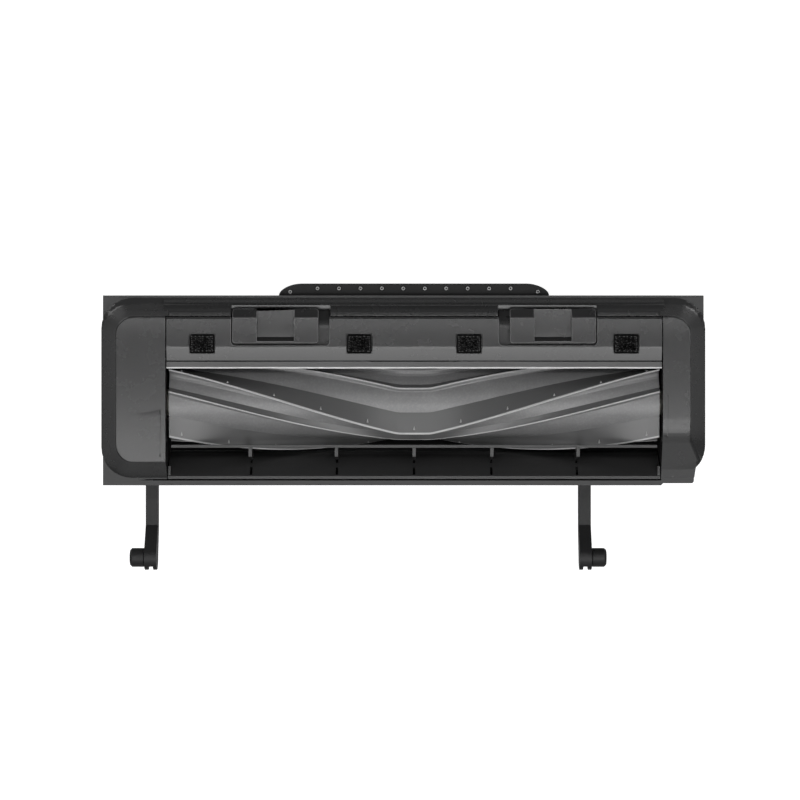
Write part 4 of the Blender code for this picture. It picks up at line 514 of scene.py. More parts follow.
def revolve(profile: Array, centre: Sequence[float], sides: int) -> Surface:
    """Body of revolution about Z: each (height, radius) of the profile becomes a ring.

    Args:
        profile: n by 2 array.
        centre: point on the axis.
        sides: points round each ring.

    Returns:
        The closed surface.
    """
    turn = np.linspace(0, 2 * np.pi, sides, endpoint=False)
    height = np.repeat(profile[:, :1], sides, axis=1)
    radius = profile[:, 1:2]
    rings = np.stack([radius * np.cos(turn), radius * np.sin(turn), height], axis=-1)
    return grid(rings + np.asarray(centre))


def sweep(path: Array, radius: float, sides: int) -> Surface:
    """Round tube along a path. Each section stands square to the path's direction.

    Args:
        path: n by 3 array.
        radius: the tube's radius.
        sides: points round each section.

    Returns:
        The closed surface.
    """
    ahead = np.gradient(path, axis=0)
    ahead /= np.linalg.norm(ahead, axis=1, keepdims=True)
    across = np.cross(ahead, np.array([1.0, 0.0, 0.0]))
    across /= np.linalg.norm(across, axis=1, keepdims=True)
    up = np.cross(ahead, across)
    turn = np.linspace(0, 2 * np.pi, sides, endpoint=False)[None, :, None]
    ring = across[:, None] * np.cos(turn) + up[:, None] * np.sin(turn)
    return grid(path[:, None] + radius * ring)


def rounded(corners: Array, radius: float, steps: int = 4) -> Array:
    """Closed outline with each corner replaced by a quadratic curve that starts and ends at most
    one radius from the corner.

    Args:
        corners: n by 2 array.
        radius: reach of the rounding along each side.
        steps: points on each curve, less one.

    Returns:
        n * (steps + 1) by 2 array.
    """
    before, after = np.roll(corners, 1, axis=0), np.roll(corners, -1, axis=0)
    to_before, to_after = before - corners, after - corners
    reach_before = np.linalg.norm(to_before, axis=1, keepdims=True)
    reach_after = np.linalg.norm(to_after, axis=1, keepdims=True)
    reach = np.minimum(radius, 0.45 * np.minimum(reach_before, reach_after))
    start = (corners + to_before / reach_before * reach)[:, None]
    end = (corners + to_after / reach_after * reach)[:, None]
    t = np.linspace(0, 1, steps + 1)[None, :, None]
    curve = (1 - t) ** 2 * start + 2 * t * (1 - t) * corners[:, None] + t ** 2 * end
    return curve.reshape(-1, 2)


def inset(outline: Array, depth: float) -> Array:
    """Closed outline moved inwards, each point along the mean of its two side normals.

    Args:
        outline: n by 2 array.
        depth: how far its sides move.

    Returns:
        n by 2 array.
    """
    ahead = np.roll(outline, -1, axis=0)
    side = ahead - outline
    side /= np.maximum(np.linalg.norm(side, axis=1, keepdims=True), 1e-12)
    normal = np.stack([-side[:, 1], side[:, 0]], axis=-1)
    area = np.sum(outline[:, 0] * ahead[:, 1] - outline[:, 1] * ahead[:, 0])
    normal = normal * np.sign(area)
    mean = normal + np.roll(normal, 1, axis=0)
    scale = np.maximum(np.sum(mean * normal, axis=1, keepdims=True), 0.4)
    return outline + mean / scale * depth


def slab(outline: Array, low: float, high: float, edge: float, steps: int = 3) -> Surface:
    """Outline pushed along Z with its two end edges rounded by a quarter circle.

    Args:
        outline: (x, y) points.
        low: height of its foot.
        high: height of its top.
        edge: radius of the end edges.
        steps: rings in each rounded edge.

    Returns:
        The closed surface.
    """
    turn = np.linspace(0, np.pi / 2, steps + 1)
    depths = edge * (1 - np.sin(turn))
    rises = edge * (1 - np.cos(turn))
    rings = [inset(outline, depth) if depth > 1e-9 else outline for depth in depths]
    heights = np.concatenate([low + rises, high - rises[::-1]])
    return grid(np.stack([np.column_stack([ring, np.full(len(ring), height)])
                          for ring, height in zip(rings + rings[::-1], heights)]))


def crown_drop(y: Array) -> Array:
    """How far the module's floor face falls away from its flat middle, as a length.

    The face rolls off towards the suction duct over a short stretch and towards the front over a
    long one. Each side is a parabola, so its slope grows evenly from nothing.

    Args:
        y: places across the module.

    Returns:
        The drop at each place.
    """
    rear = np.maximum(y - CROWN_REAR, 0)
    front = np.maximum(CROWN_FRONT - y, 0)
    return rear ** 2 * CROWN_REAR_CURVE / 2 + front ** 2 * CROWN_FRONT_CURVE / 2


def shoulder_ratio(behind: Array) -> Array:
    """How the height of the moulded shoulder changes once its foot runs out into the flange.

    The shoulder is a quarter ellipse with a short toe. The eased one falls along a smooth step
    whose argument is a power of the distance.

    Args:
        behind: distances behind the seam.

    Returns:
        New height over old height at each distance.
    """
    inside = np.clip(behind / SHOULDER_REACH, 0, TOE_START)
    old = SHOULDER_RISE * np.sqrt(1 - inside ** 2)
    toe = (SHOULDER_TOE - behind) / (SHOULDER_TOE - TOE_START * SHOULDER_REACH)
    old = np.maximum(old * np.clip(toe, 0, 1), 1e-6)
    share = np.clip(behind / SHOULDER_EASED, 0, 1) ** EASE_POWER
    return np.minimum(SHOULDER_RISE * (1 - smoothstep(share, 0, 1)) / old, EASE_MOST)


def smoothstep(value: Array, start: float, end: float) -> Array:
    """0 below start, 1 above end, and a smooth rise between them."""
    t = np.clip((value - start) / (end - start), 0, 1)
    return t * t * (3 - 2 * t)


def box(node: str) -> tuple[Array, Array]:
    """Lowest and highest corner of a CAD node, as arrays."""
    low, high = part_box(node)
    return np.array(low), np.array(high)


# Pieces ----------------------------------------------------------------------------------------

@dataclass
class Dresser:
    """Makes the pieces, rides them on their bodies and keeps count of them.

    Attributes:
        made: number of pieces so far.
    """

    frame: dict
    made: int = 0

    def bodies(self) -> dict[str, str]:
        """CAD node to the body that it rides on."""
        groups = self.frame["record"]["behaviour"]["bodies"]
        return {node: body for body, nodes in groups.items() for node in nodes}

    def piece(self, name: str, surface: Surface, finish: Finish, body: str,
              replaces: Iterable[str] = (), angle: float = SHARP_EDGE) -> bpy.types.Object:
        """Turn a surface into a shown piece.

        Args:
            name: the piece's name.
            surface: its points and faces.
            finish: its finish.
            body: the CAD body that it rides on.
            replaces: CAD nodes that it stands for.
            angle: edges sharper than this stay sharp, in degrees.

        Returns:
            The new object.
        """
        mesh = bpy.data.meshes.new(name)
        mesh.from_pydata(surface.points.tolist(), [], surface.faces)
        # Painted light at each point, for the finish to read.
        if surface.painted_light is not None:
            layer = mesh.attributes.new("painted_light", "FLOAT", "POINT")
            layer.data.foreach_set("value", surface.painted_light.astype(np.float32))
        self._close(mesh)
        return self._finish(name, mesh, finish, body, replaces, angle)

    def carried(self, node: str, finish: Finish, edge: float, crowned: bool = False,
                highlight_share: float = 0.0, rims: Sequence[tuple[float, float]] = ()) -> None:
        """Make a piece of a CAD node's shape, with its doubles merged and its hard edges
        softened. It stands for the node.

        Args:
            node: the CAD node.
            finish: the finish.
            edge: width of the softened edges, 0 for none.
            crowned: whether its top follows the crown of the floor face.
            highlight_share: strength of the painted highlight on its softened edges, from 0 to 1.
            rims: stretches of X where the rims in its face get the painted highlight in full.
        """
        mesh = self.frame["nodes"][node].data.copy()
        mesh.name = f"{node}_finished"
        work = bmesh.new()
        work.from_mesh(mesh)
        bmesh.ops.remove_doubles(work, verts=work.verts, dist=CAD_DOUBLE)
        bmesh.ops.dissolve_limit(work, angle_limit=FLAT_EDGE, verts=work.verts,
                                 edges=work.edges)
        self._soften(work, edge, highlight_share, rims)
        if crowned:
            self._crown(work, node == "main_frame")
        work.to_mesh(mesh)
        work.free()
        if node == "main_frame":
            self._texture(mesh)
        made = self._finish(f"{node}_finished", mesh, finish, self.bodies()[node], [node],
                            SHARP_EDGE)
        made.modifiers.new("even", "WEIGHTED_NORMAL").keep_sharp = True

    def _soften(self, work: bmesh.types.BMesh, edge: float, highlight_share: float,
                rims: Sequence[tuple[float, float]]) -> None:
        """Bevel the hard edges where no short edge is in the way, and give them their painted
        highlight.
        On a piece with a painted edge highlight the outward edges alone are bevelled.

        Args:
            work: the mesh.
            edge: width of the softened edges.
            highlight_share: strength of their painted highlight, from 0 to 1.
            rims: stretches of X where the rims in its face get the painted highlight in full.
        """
        # Painted highlight on the bevels, per corner.
        layer = work.loops.layers.float.new("painted_light")
        room = BEVEL_ROOM * edge
        tight = {vert for side in work.edges if side.calc_length() < room for vert in side.verts}
        tight |= {vert for vert in work.verts if CRISP[0] < vert.co.y < CRISP[1]}
        hard = [side for side in work.edges if side.calc_face_angle(0.0) > HARD_EDGE
                and not tight.intersection(side.verts) and (side.is_convex or not highlight_share)]
        if edge > 0 and hard:
            made = bmesh.ops.bevel(work, geom=hard, offset=edge, offset_type="OFFSET", segments=2,
                                   profile=0.5, affect="EDGES", clamp_overlap=True)
            # Bevels on the rims get the full painted highlight, the rest the piece's share.
            for face in made["faces"]:
                middle = face.calc_center_median()
                rim = (middle.y > RIM_FRONT and middle.z > FACE_Z - edge
                       and any(low < middle.x < high for low, high in rims))
                for corner in face.loops:
                    corner[layer] = 1.0 if rim else highlight_share

    def _crown(self, work: bmesh.types.BMesh, shoulder: bool) -> None:
        """Cut a mesh across into strips, then lower each point by the crown's drop there, in full
        at the face and not at all at the flange. On the main frame, the shoulder's foot is eased
        and the right cheek rolled as well.

        Args:
            work: the mesh.
            shoulder: whether it is the main frame's.
        """
        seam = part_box("main_frame")[1][1] - SHOULDER_REAR
        self._cut(work, CROWN_CUTS)
        if shoulder:
            self._cut(work, seam + SHOULDER_CUTS)
            self._cut(work, ROLL_CUTS, CHEEK_RIGHT)
        points = np.array([v.co[:] for v in work.verts])
        if shoulder:
            self._ease(points, seam)
            self._roll(points)
        share = smoothstep(points[:, 2], FLANGE_Z, FACE_Z)
        points[:, 2] -= crown_drop(points[:, 1]) * share
        for vert, point in zip(work.verts, points):
            vert.co = point

    def _cut(self, work: bmesh.types.BMesh, places: Array, left: float = -1.0) -> None:
        """Cut what lies to the right of a place across, at each Y.

        Args:
            work: the mesh.
            places: Y of each cut.
            left: X of the place. The default is left of everything.
        """
        for y in places:
            parts = [part for group in (work.verts, work.edges, work.faces) for part in group
                     if all(v.co.x > left for v in getattr(part, "verts", (part,)))]
            bmesh.ops.bisect_plane(work, geom=parts, dist=DOUBLE, plane_co=(0, y, 0),
                                   plane_no=(0, 1, 0))

    def _roll(self, points: Array) -> None:
        """Roll the right cheek's face towards its ramp: the face falls along a parabola down to
        the ramp's top, and the ramp is turned about its foot to meet it. Each point falls by a
        share of its height over the flange.

        Args:
            points: the main frame's points, which are moved in place.
        """
        (top_y, top), (foot_y, foot) = RAMP_TOP, RAMP_FOOT
        ahead = np.clip(ROLL_START - points[:, 1], 0, ROLL_START - top_y)
        fade = np.clip((points[:, 1] - foot_y) / (top_y - foot_y), 0, 1)
        share = ahead ** 2 * ROLL_CURVE / 2 / (FACE_Z - FLANGE_Z)
        share = share * fade * top / (foot + (top - foot) * fade)
        over = np.maximum(points[:, 2] - FLANGE_Z, 0)
        points[:, 2] -= np.where(points[:, 0] > CHEEK_RIGHT, over * share, 0)

    def _ease(self, points: Array, seam: float) -> None:
        """Scale the heights of the shoulder's points over the flange by the shoulder's ratio. They
        are the points within the cover's width from the seam on, up to the shoulder's crest.

        Args:
            points: the main frame's points, which are moved in place.
            seam: Y of the seam between the cover and the shoulder.
        """
        low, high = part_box("brush_cover")
        behind = points[:, 1] - seam
        over = points[:, 2] - FLANGE_Z
        crest = SHOULDER_RISE * np.sqrt(1 - np.clip(behind / SHOULDER_REACH, 0, 1) ** 2)
        crest = np.where(behind > TOE_START * SHOULDER_REACH, TOE_RISE, crest)
        here = (points[:, 0] > low[0] - EASE_BESIDE) & (points[:, 0] < high[0] + EASE_BESIDE)
        here &= (behind > -SEAM_SLACK) & (over > FLANGE_SLACK) & (over < crest + EASE_ABOVE)
        points[here, 2] = FLANGE_Z + over[here] * shoulder_ratio(behind[here])

    def _texture(self, mesh: bpy.types.Mesh) -> None:
        """Set the painted_light attribute to -1 on the level faces of the flange. With the body
        finish this paints no shade there and only makes them more matte.

        Args:
            mesh: the main frame's mesh.
        """
        count = len(mesh.polygons)
        middle, normal, corners = np.empty(count * 3), np.empty(count * 3), np.empty(count, int)
        mesh.polygons.foreach_get("center", middle)
        mesh.polygons.foreach_get("normal", normal)
        mesh.polygons.foreach_get("loop_total", corners)
        middle, normal = middle.reshape(-1, 3), normal.reshape(-1, 3)
        here = (np.abs(middle[:, 2] - FLANGE_Z) < FLANGE_BAND) & (normal[:, 2] > LEVEL)
        layer = mesh.attributes["painted_light"].data
        painted_light = np.empty(len(layer))
        layer.foreach_get("value", painted_light)
        layer.foreach_set("value", np.where(np.repeat(here, corners), -1.0, painted_light))

    def _close(self, mesh: bpy.types.Mesh) -> None:
        """Merge doubles and turn the faces outward.

        Args:
            mesh: a new piece's mesh.
        """
        work = bmesh.new()
        work.from_mesh(mesh)
        bmesh.ops.remove_doubles(work, verts=work.verts, dist=DOUBLE)
        bmesh.ops.recalc_face_normals(work, faces=work.faces)
        work.to_mesh(mesh)
        work.free()

    def _finish(self, name: str, mesh: bpy.types.Mesh, finish: Finish, body: str,
                replaces: Iterable[str], angle: float) -> bpy.types.Object:
        """Shade a mesh, give it its finish, ride it and report it.

        Args:
            name: the piece's name.
            mesh: its mesh.
            finish: its finish.
            body: the CAD body that it rides on.
            replaces: CAD nodes that it stands for.
            angle: edges sharper than this stay sharp, in degrees.

        Returns:
            The new object.
        """
        mesh.materials.clear()
        mesh.materials.append(finish.material())
        mesh.shade_smooth()
        mesh.set_sharp_from_angle(angle=math.radians(angle))
        made = bpy.data.objects.new(name, mesh)
        bpy.context.scene.collection.objects.link(made)
        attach(made, body)
        if replaces:
            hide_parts(*replaces)
        self.made += 1
        LOG.info("made %s: %d faces on %s", name, len(mesh.polygons), body)
        return made


# Sub-assemblies --------------------------------------------------------------------------------

@dataclass
class FixedShells:
    """Frame, chamber, guard, housing, bearing block and seal: mouldings that don't move.

    Attributes:
        edge: softened edge of a thick moulding.
        fine_edge: softened edge of a thin one.
    """

    edge: float = 0.22 * MM
    fine_edge: float = 0.12 * MM

    def build(self, dresser: Dresser) -> None:
        """Soften and dress each moulding.

        Args:
            dresser: makes the pieces.
        """
        dresser.carried("main_frame", BODY, self.edge, crowned=True)
        dresser.carried("brush_chamber", LOWER, self.edge)
        dresser.carried("intake_guard", GUARD, self.fine_edge)
        dresser.carried("gearbox_housing", LOWER, self.edge)
        dresser.carried("bearing_block", LOWER, self.edge)
        dresser.carried("duct_seal", SEAL, self.edge)


@dataclass
class StudCaps:
    """Eyelets over the pips along the top of the duct seal, each with a painted highlight on its
    rim.

    Attributes:
        radius: outside of an eyelet.
        rise: its rim above the pip.
        count: eyelets in the row.
        row_inset: end of the seal to the first of the row.
        inset: the row's distance from the seal's tip.
        end_from_end: end of the seal to the odd one at each end.
        end_inset: that one's distance from the tip.
        sides: points round an eyelet.
    """

    radius: float = 0.72 * MM
    rise: float = 0.16 * MM
    count: int = 10
    row_inset: float = 14.7 * MM
    inset: float = 1.9 * MM
    end_from_end: float = 4.3 * MM
    end_inset: float = 3.2 * MM
    sides: int = 16

    def build(self, dresser: Dresser) -> None:
        """Every eyelet, as one piece of the seal.

        Args:
            dresser: makes the pieces.
        """
        low, high = box("duct_seal")
        row = np.linspace(low[0] + self.row_inset, high[0] - self.row_inset, self.count)
        ends = np.array([low[0] + self.end_from_end, high[0] - self.end_from_end])
        surface = Surface()
        for places, inset_y in ((row, self.inset), (ends, self.end_inset)):
            for x in places:
                surface.add(self._cap(x, high[1] - inset_y, high[2]))
        dresser.piece("duct_seal_stud_caps", surface, SEAL, "module", angle=60)

    def _cap(self, x: float, y: float, top: float) -> Surface:
        """One eyelet: a revolved skirt, a rim with a painted highlight and a dished dark middle.

        Args:
            x: place along the seal.
            y: place across it.
            top: height of the pip.

        Returns:
            The closed surface.
        """
        profile = np.array([[-0.6 * MM, self.radius], [0.05 * MM, self.radius],
                            [self.rise, self.radius * 0.85], [self.rise, self.radius * 0.6],
                            [0.05 * MM, self.radius * 0.4], [0.03 * MM, 0.03 * MM]])
        surface = revolve(profile, (x, y, top), self.sides)
        # Painted highlight on the rim.
        surface.painted_light = np.repeat([0.0, 0.7, 1.0, 1.0, 0.0, 0.0], self.sides)
        return surface


@dataclass
class Cover:
    """Lift-off cover with its wiper and glide pads.

    Attributes:
        edge: softened edge of the cover.
        recesses: stretches of X that the latch recesses take.
        pad_corner: rounding of a pad's corners.
        backing_edge: rounding of its backing's edges.
        backing_over: how far the backing covers the tufts' feet.
        tuft_pitch: distance between fibre tufts.
        tuft_height: length of a tuft.
        tuft_foot: half the width of its foot, as a share of the pitch.
        tuft_lean: how far its tip can be moved sideways.
        tuft_uneven: how far its tip can be lower.
        tuft_shape: (share of the height, share of the foot's width, painted highlight) of its
            sections.
        tip_highlight: painted highlight of the tips: at most inside, on the side columns and on
            the end rows.
        bare: width of the backing's edge that carries no tufts.
        seed: start of the tufts' scatter.
        wiper_thickness: thickness of the wiper's blade.
        wiper_leg: width of the leg behind it.
        wiper_nose: reach of its rounded free edge.
        nose_steps: points round that edge.
        wave: height of each of the edge's two waves.
        wave_reach: length of each of the two over a turn of one radian.
    """

    edge: float = 0.2 * MM
    recesses: tuple[tuple[float, float], ...] = (
        (-65.3 * MM, -27.5 * MM), (35.7 * MM, 73.5 * MM))
    pad_corner: float = 0.5 * MM
    backing_edge: float = 0.12 * MM
    backing_over: float = 0.15 * MM
    tuft_pitch: float = 0.72 * MM
    tuft_height: float = 0.95 * MM
    tuft_foot: float = 0.44
    tuft_lean: float = 0.22 * MM
    tuft_uneven: float = 0.3 * MM
    # The last number of each section is its painted highlight.
    tuft_shape: tuple[tuple[float, float, float], ...] = (
        (0.0, 1.0, 0.0), (0.6, 0.85, 0.3), (1.0, 0.5, 1.0))
    # Painted highlight on the tufts' tips.
    tip_highlight: tuple[float, float, float] = (0.6, 0.8, 1.0)
    bare: float = 0.45 * MM
    seed: int = 7
    wiper_thickness: float = 0.7 * MM
    wiper_leg: float = 1.0 * MM
    wiper_nose: float = 0.7 * MM
    nose_steps: int = 9
    wave: float = 0.03 * MM
    wave_reach: tuple[float, float] = (7 * MM, 17 * MM)

    def build(self, dresser: Dresser) -> None:
        """Cover, wiper and four pads.

        Args:
            dresser: makes the pieces.
        """
        # The rims of the latch recesses carry a painted highlight.
        dresser.carried("brush_cover", BODY, self.edge, crowned=True, rims=self.recesses)
        self._wiper(dresser)
        for number in range(1, 5):
            self._pad(dresser, number)

    def _wiper(self, dresser: Dresser) -> None:
        """Rubber strip with a rear leg and a thin free edge.

        The outline is pushed along X. Its free edge is a half circle, with a painted highlight
        from its top to below its middle, that draws back by the size of the sum of two sines.

        Args:
            dresser: makes the pieces.
        """
        low, high = box("wiper_strip")
        round_edge = self.wiper_thickness / 2
        turn = np.linspace(-np.pi / 2, np.pi / 2, self.nose_steps)
        nose_y = low[1] + round_edge - round_edge * np.cos(turn)
        nose_z = high[2] - round_edge - round_edge * np.sin(turn)
        under = high[2] - self.wiper_thickness
        leg = high[1] - self.wiper_leg
        nose = low[1] + self.wiper_nose
        rest = np.array([[nose, under], [leg, under], [leg, low[2]], [high[1], low[2]],
                         [high[1], high[2]], [nose, high[2]]])
        outline = np.vstack([np.stack([nose_y, nose_z], axis=-1), rest])
        # Painted highlight over the free edge, from its top to below its middle.
        painted_light = np.zeros(len(outline))
        painted_light[:self.nose_steps] = np.clip(1.2 - np.abs(turn + 0.5) / 1.4, 0, 1)
        x = np.linspace(low[0], high[0], LENGTH_ROWS)
        short, long = self.wave_reach
        wave = self.wave * (np.sin(x / short) + np.sin(x / long + 1))
        rows = np.empty((len(x), len(outline), 3))
        rows[..., 0] = x[:, None]
        rows[..., 1:] = outline
        rows[:, :self.nose_steps, 1] += np.abs(wave)[:, None]
        surface = grid(rows)
        surface.painted_light = np.tile(painted_light, len(x))
        dresser.piece("wiper_blade", surface, LIP, "cover", ["wiper_strip"])

    def _pad(self, dresser: Dresser, number: int) -> None:
        """Pile pad: a backing and rows of leaning fibre tufts.

        A tuft is a four-sided stub: its foot is a small square in the backing and its tip is
        moved sideways by a random lean. Tips carry a painted highlight of a random share, more on
        the side columns and in full on every other tuft of the end rows.

        Args:
            dresser: makes the pieces.
            number: the pad's number.
        """
        node = f"glide_pad_{number}"
        low, high = box(node)
        top = high[2] - self.tuft_height
        corners = np.array([[low[0], low[1]], [high[0], low[1]], [high[0], high[1]],
                            [low[0], high[1]]])
        surface = slab(rounded(corners, self.pad_corner), low[2], top + self.backing_over,
                       self.backing_edge)
        rng = np.random.default_rng(self.seed + number)
        half = self.tuft_pitch * self.tuft_foot
        first, last = low[:2] + self.bare + half, high[:2] - self.bare - half
        columns, lines = (round(reach / self.tuft_pitch) + 1 for reach in last - first)
        gx, gy = (g.ravel() for g in np.meshgrid(np.linspace(first[0], last[0], columns),
                                                 np.linspace(first[1], last[1], lines)))
        count = columns * lines
        lean = rng.uniform(-self.tuft_lean, self.tuft_lean, (count, 2))
        tip = high[2] - rng.uniform(0, self.tuft_uneven, count)
        # Painted highlight on the tips: random inside, more on the side columns, full on every
        # other tuft of the end rows.
        inside, side, end = self.tip_highlight
        tip_highlight = rng.uniform(0.0, inside, (lines, columns))
        tip_highlight[:, [0, -1]] = side
        tip_highlight[[0, -1], ::2] = end
        ring = np.array([[-1, -1], [1, -1], [1, 1], [-1, 1]], float)
        rows = []
        for share, wide, _ in self.tuft_shape:
            x = gx[:, None] + ring[None, :, 0] * half * wide + lean[:, :1] * share
            y = gy[:, None] + ring[None, :, 1] * half * wide + lean[:, 1:] * share
            z = np.repeat((top + (tip - top) * share)[:, None], 4, axis=1)
            rows.append(np.stack([x, y, z], axis=-1))
        wear_and_painted_light = np.repeat([painted_light for _, _, painted_light in self.tuft_shape], 4)
        for tuft, light in zip(np.stack(rows, axis=1), tip_highlight.ravel()):
            stub = grid(tuft)
            stub.painted_light = wear_and_painted_light * light
            surface.add(stub)
        pile = dresser.piece(f"{node}_pile", surface, FIBRE, "cover", [node], angle=50)


@dataclass
class Latch:
    """Sliding latch and its coil spring.

    Attributes:
        word: left or right.
        edge: softened edge of the latch.
        coil_radius: mean radius of the spring.
        wire: radius of its wire.
        turns: number of turns.
        turn_steps: points along one turn.
        sides: points round the wire.
        margin: end of the wire's path to the end of its room, over the wire's radius.
    """

    word: str
    edge: float = 0.19 * MM
    coil_radius: float = 0.8 * MM
    wire: float = 0.2 * MM
    turns: int = 8
    turn_steps: int = 20
    sides: int = 8
    margin: float = 1.2

    def build(self, dresser: Dresser) -> None:
        """Latch and spring.

        Args:
            dresser: makes the pieces.
        """
        # Its softened edges carry the painted highlight in full.
        dresser.carried(f"latch_{self.word}", BODY, self.edge, crowned=True, highlight_share=1.0)
        node = f"latch_spring_{self.word}"
        low, high = box(node)
        centre = (low + high) / 2
        turn = np.linspace(0, 2 * np.pi * self.turns, self.turns * self.turn_steps)
        share = turn / turn[-1]
        margin = self.wire * self.margin
        x = low[0] + margin + (high[0] - low[0] - 2 * margin) * share
        path = np.stack([x, centre[1] + self.coil_radius * np.cos(turn),
                         centre[2] + self.coil_radius * np.sin(turn)], axis=-1)
        coil = sweep(path, self.wire, self.sides)
        dresser.piece(f"{node}_coil", coil, STEEL, f"latch_{self.word}", [node])


@dataclass
class Roller:
    """Brush: finned rubber sleeve, core and end plugs.

    A fin's outline runs from its rear side over the tip to its front side. Each of its points is
    (degrees ahead of the tip, share of the fin's height, painted light): 1 is a painted highlight
    on the tip, -1 a painted shade on the rear side.

    Attributes:
        axis: (y, z) of the brush axis.
        middle: X of the middle of the chevron.
        root_radius: outside of the sleeve between the fins.
        bore_radius: inside of the sleeve.
        tall_radius: tip of the tall fins.
        short_radius: tip of the short fins.
        tall_tip: angle of a tall fin's tip in the middle, from the top and forwards.
        short_tip: the same for a short fin.
        tall_fin: outline of a tall fin.
        short_fin: outline of a short fin.
        flat: untwisted middle.
        twist: degrees for each metre outwards.
        ease: reach of the eased corner between the two.
        pairs: number of tall fins.
        nub_pitch: distance between the nubs along a tall fin.
        nub_margin: least distance of a nub from the sleeve's ends.
        nub: (distance from the fin's tip, half width, height) of its sections, in millimetres.
        nub_foot: how far it is sunk in the fin.
        nub_fall: fall of the fin's rear side over its length.
        nub_highlight: strength of its painted highlight.
        gap_points: points on the root circle ahead of a tall fin, and ahead of a short one.
        core_edge: softened edge of the core.
        plug_edge: softened edge of the plugs.
    """

    axis: tuple[float, float] = (9.65 * MM, 26.0 * MM)
    middle: float = 4.1 * MM
    root_radius: float = 13.85 * MM
    bore_radius: float = 12.05 * MM
    tall_radius: float = 18.2 * MM
    short_radius: float = 15.3 * MM
    tall_tip: float = 41.5
    short_tip: float = 69.5
    # The third number of each point is painted light: a painted highlight on the tip, a painted
    # shade on the rear side.
    tall_fin: tuple[tuple[float, float, float], ...] = (
        (-25.2, 0.0, 0.0), (-25.0, 0.004, -1.0), (-19.0, 0.142, -1.0), (-13.4, 0.315, -1.0),
        (-8.4, 0.518, -1.0), (-3.9, 0.747, -1.0), (-1.6, 0.888, -1.0), (-0.9, 0.935, 1.0),
        (-0.2, 0.98, 1.0), (0.5, 1.0, 1.0), (1.2, 0.98, 1.0), (1.6, 0.93, 0.4),
        (1.5, 0.86, 0.0), (-0.8, 0.64, 0.0), (-2.8, 0.455, 0.0), (-3.4, 0.34, 0.0),
        (-2.6, 0.2, 0.0), (-0.6, 0.09, 0.0), (3.2, 0.0, 0.0))
    short_fin: tuple[tuple[float, float, float], ...] = (
        (-8.2, 0.0, 0.0), (-8.0, 0.02, -1.0), (-4.4, 0.4, -1.0), (-1.2, 0.82, -1.0),
        (-0.5, 0.95, 1.0), (0.3, 1.0, 1.0), (1.0, 0.97, 1.0), (1.7, 0.85, 0.3),
        (2.3, 0.55, 0.0), (3.2, 0.2, 0.0), (4.8, 0.0, 0.0))
    flat: float = 12.4 * MM
    twist: float = 985.0
    ease: float = 1.0 * MM
    pairs: int = 4
    nub_pitch: float = 17.6 * MM
    nub_margin: float = 3 * MM
    nub: tuple[tuple[float, float, float], ...] = (
        (1.5, 0.35, 0.15), (1.6, 0.46, 0.4), (2.3, 0.3, 0.32), (3.0, 0.06, 0.05))
    nub_foot: float = 0.3 * MM
    nub_fall: float = 0.04
    nub_highlight: float = 0.8
    gap_points: tuple[int, int] = (3, 6)
    core_edge: float = 0.15 * MM
    plug_edge: float = 0.2 * MM

    def build(self, dresser: Dresser) -> None:
        """Sleeve, core and plugs.

        Args:
            dresser: makes the pieces.
        """
        self._sleeve(dresser)
        dresser.carried("brush_core", LOWER, self.core_edge)
        dresser.carried("drive_plug", NATURAL, self.plug_edge)
        dresser.carried("bearing_plug", NATURAL, self.plug_edge)

    def _fin(self, tip_radius: float, tip_angle: float,
             outline: tuple[tuple[float, float, float], ...]) -> Array:
        """One fin.

        Args:
            tip_radius: radius of its tip.
            tip_angle: angle of its tip in degrees.
            outline: its outline.

        Returns:
            (angle, radius, painted light) points.
        """
        ahead, share, wear_and_painted_light = np.array(outline).T
        radius = self.root_radius + (tip_radius - self.root_radius) * share
        return np.stack([tip_angle + ahead, radius, wear_and_painted_light], axis=-1)

    def _valley(self, start: float, end: float, count: int) -> Array:
        """Points on the root circle between two fins, with no painted light."""
        angle = np.linspace(start, end, count + 2)[1:-1]
        return np.stack([angle, np.full(count, self.root_radius), np.zeros(count)], axis=-1)

    def _section(self) -> Array:
        """Whole cross-section: tall and short fins in turn with the root circle between them.

        Returns:
            (angle, radius, painted light) points.
        """
        step = 360 / self.pairs
        near, far = self.gap_points
        parts = []
        for k in range(self.pairs):
            tall = self._fin(self.tall_radius, self.tall_tip + k * step, self.tall_fin)
            short = self._fin(self.short_radius, self.short_tip + k * step, self.short_fin)
            parts += [tall, self._valley(tall[-1, 0], short[0, 0], near),
                      short, self._valley(short[-1, 0], tall[0, 0] + step, far)]
        return np.vstack(parts)

    def _place(self, x: Array, angle: Array, radius: Array) -> Array:
        """Points from polar places. The angle grows from the top towards the front.

        Args:
            x: places along the brush.
            angle: degrees.
            radius: distances from the axis.

        Returns:
            Points along a last axis.
        """
        turn = np.radians(angle)
        return np.stack([x, self.axis[0] - radius * np.sin(turn),
                         self.axis[1] + radius * np.cos(turn)], axis=-1)

    def _phase(self, x: Array) -> Array:
        """Turn of the section along the brush: nothing in the middle, then a steady twist. The
        two are joined by a hyperbola."""
        out = np.abs(x - self.middle) - self.flat / 2
        return -self.twist * (out + np.sqrt(out ** 2 + self.ease ** 2)) / 2

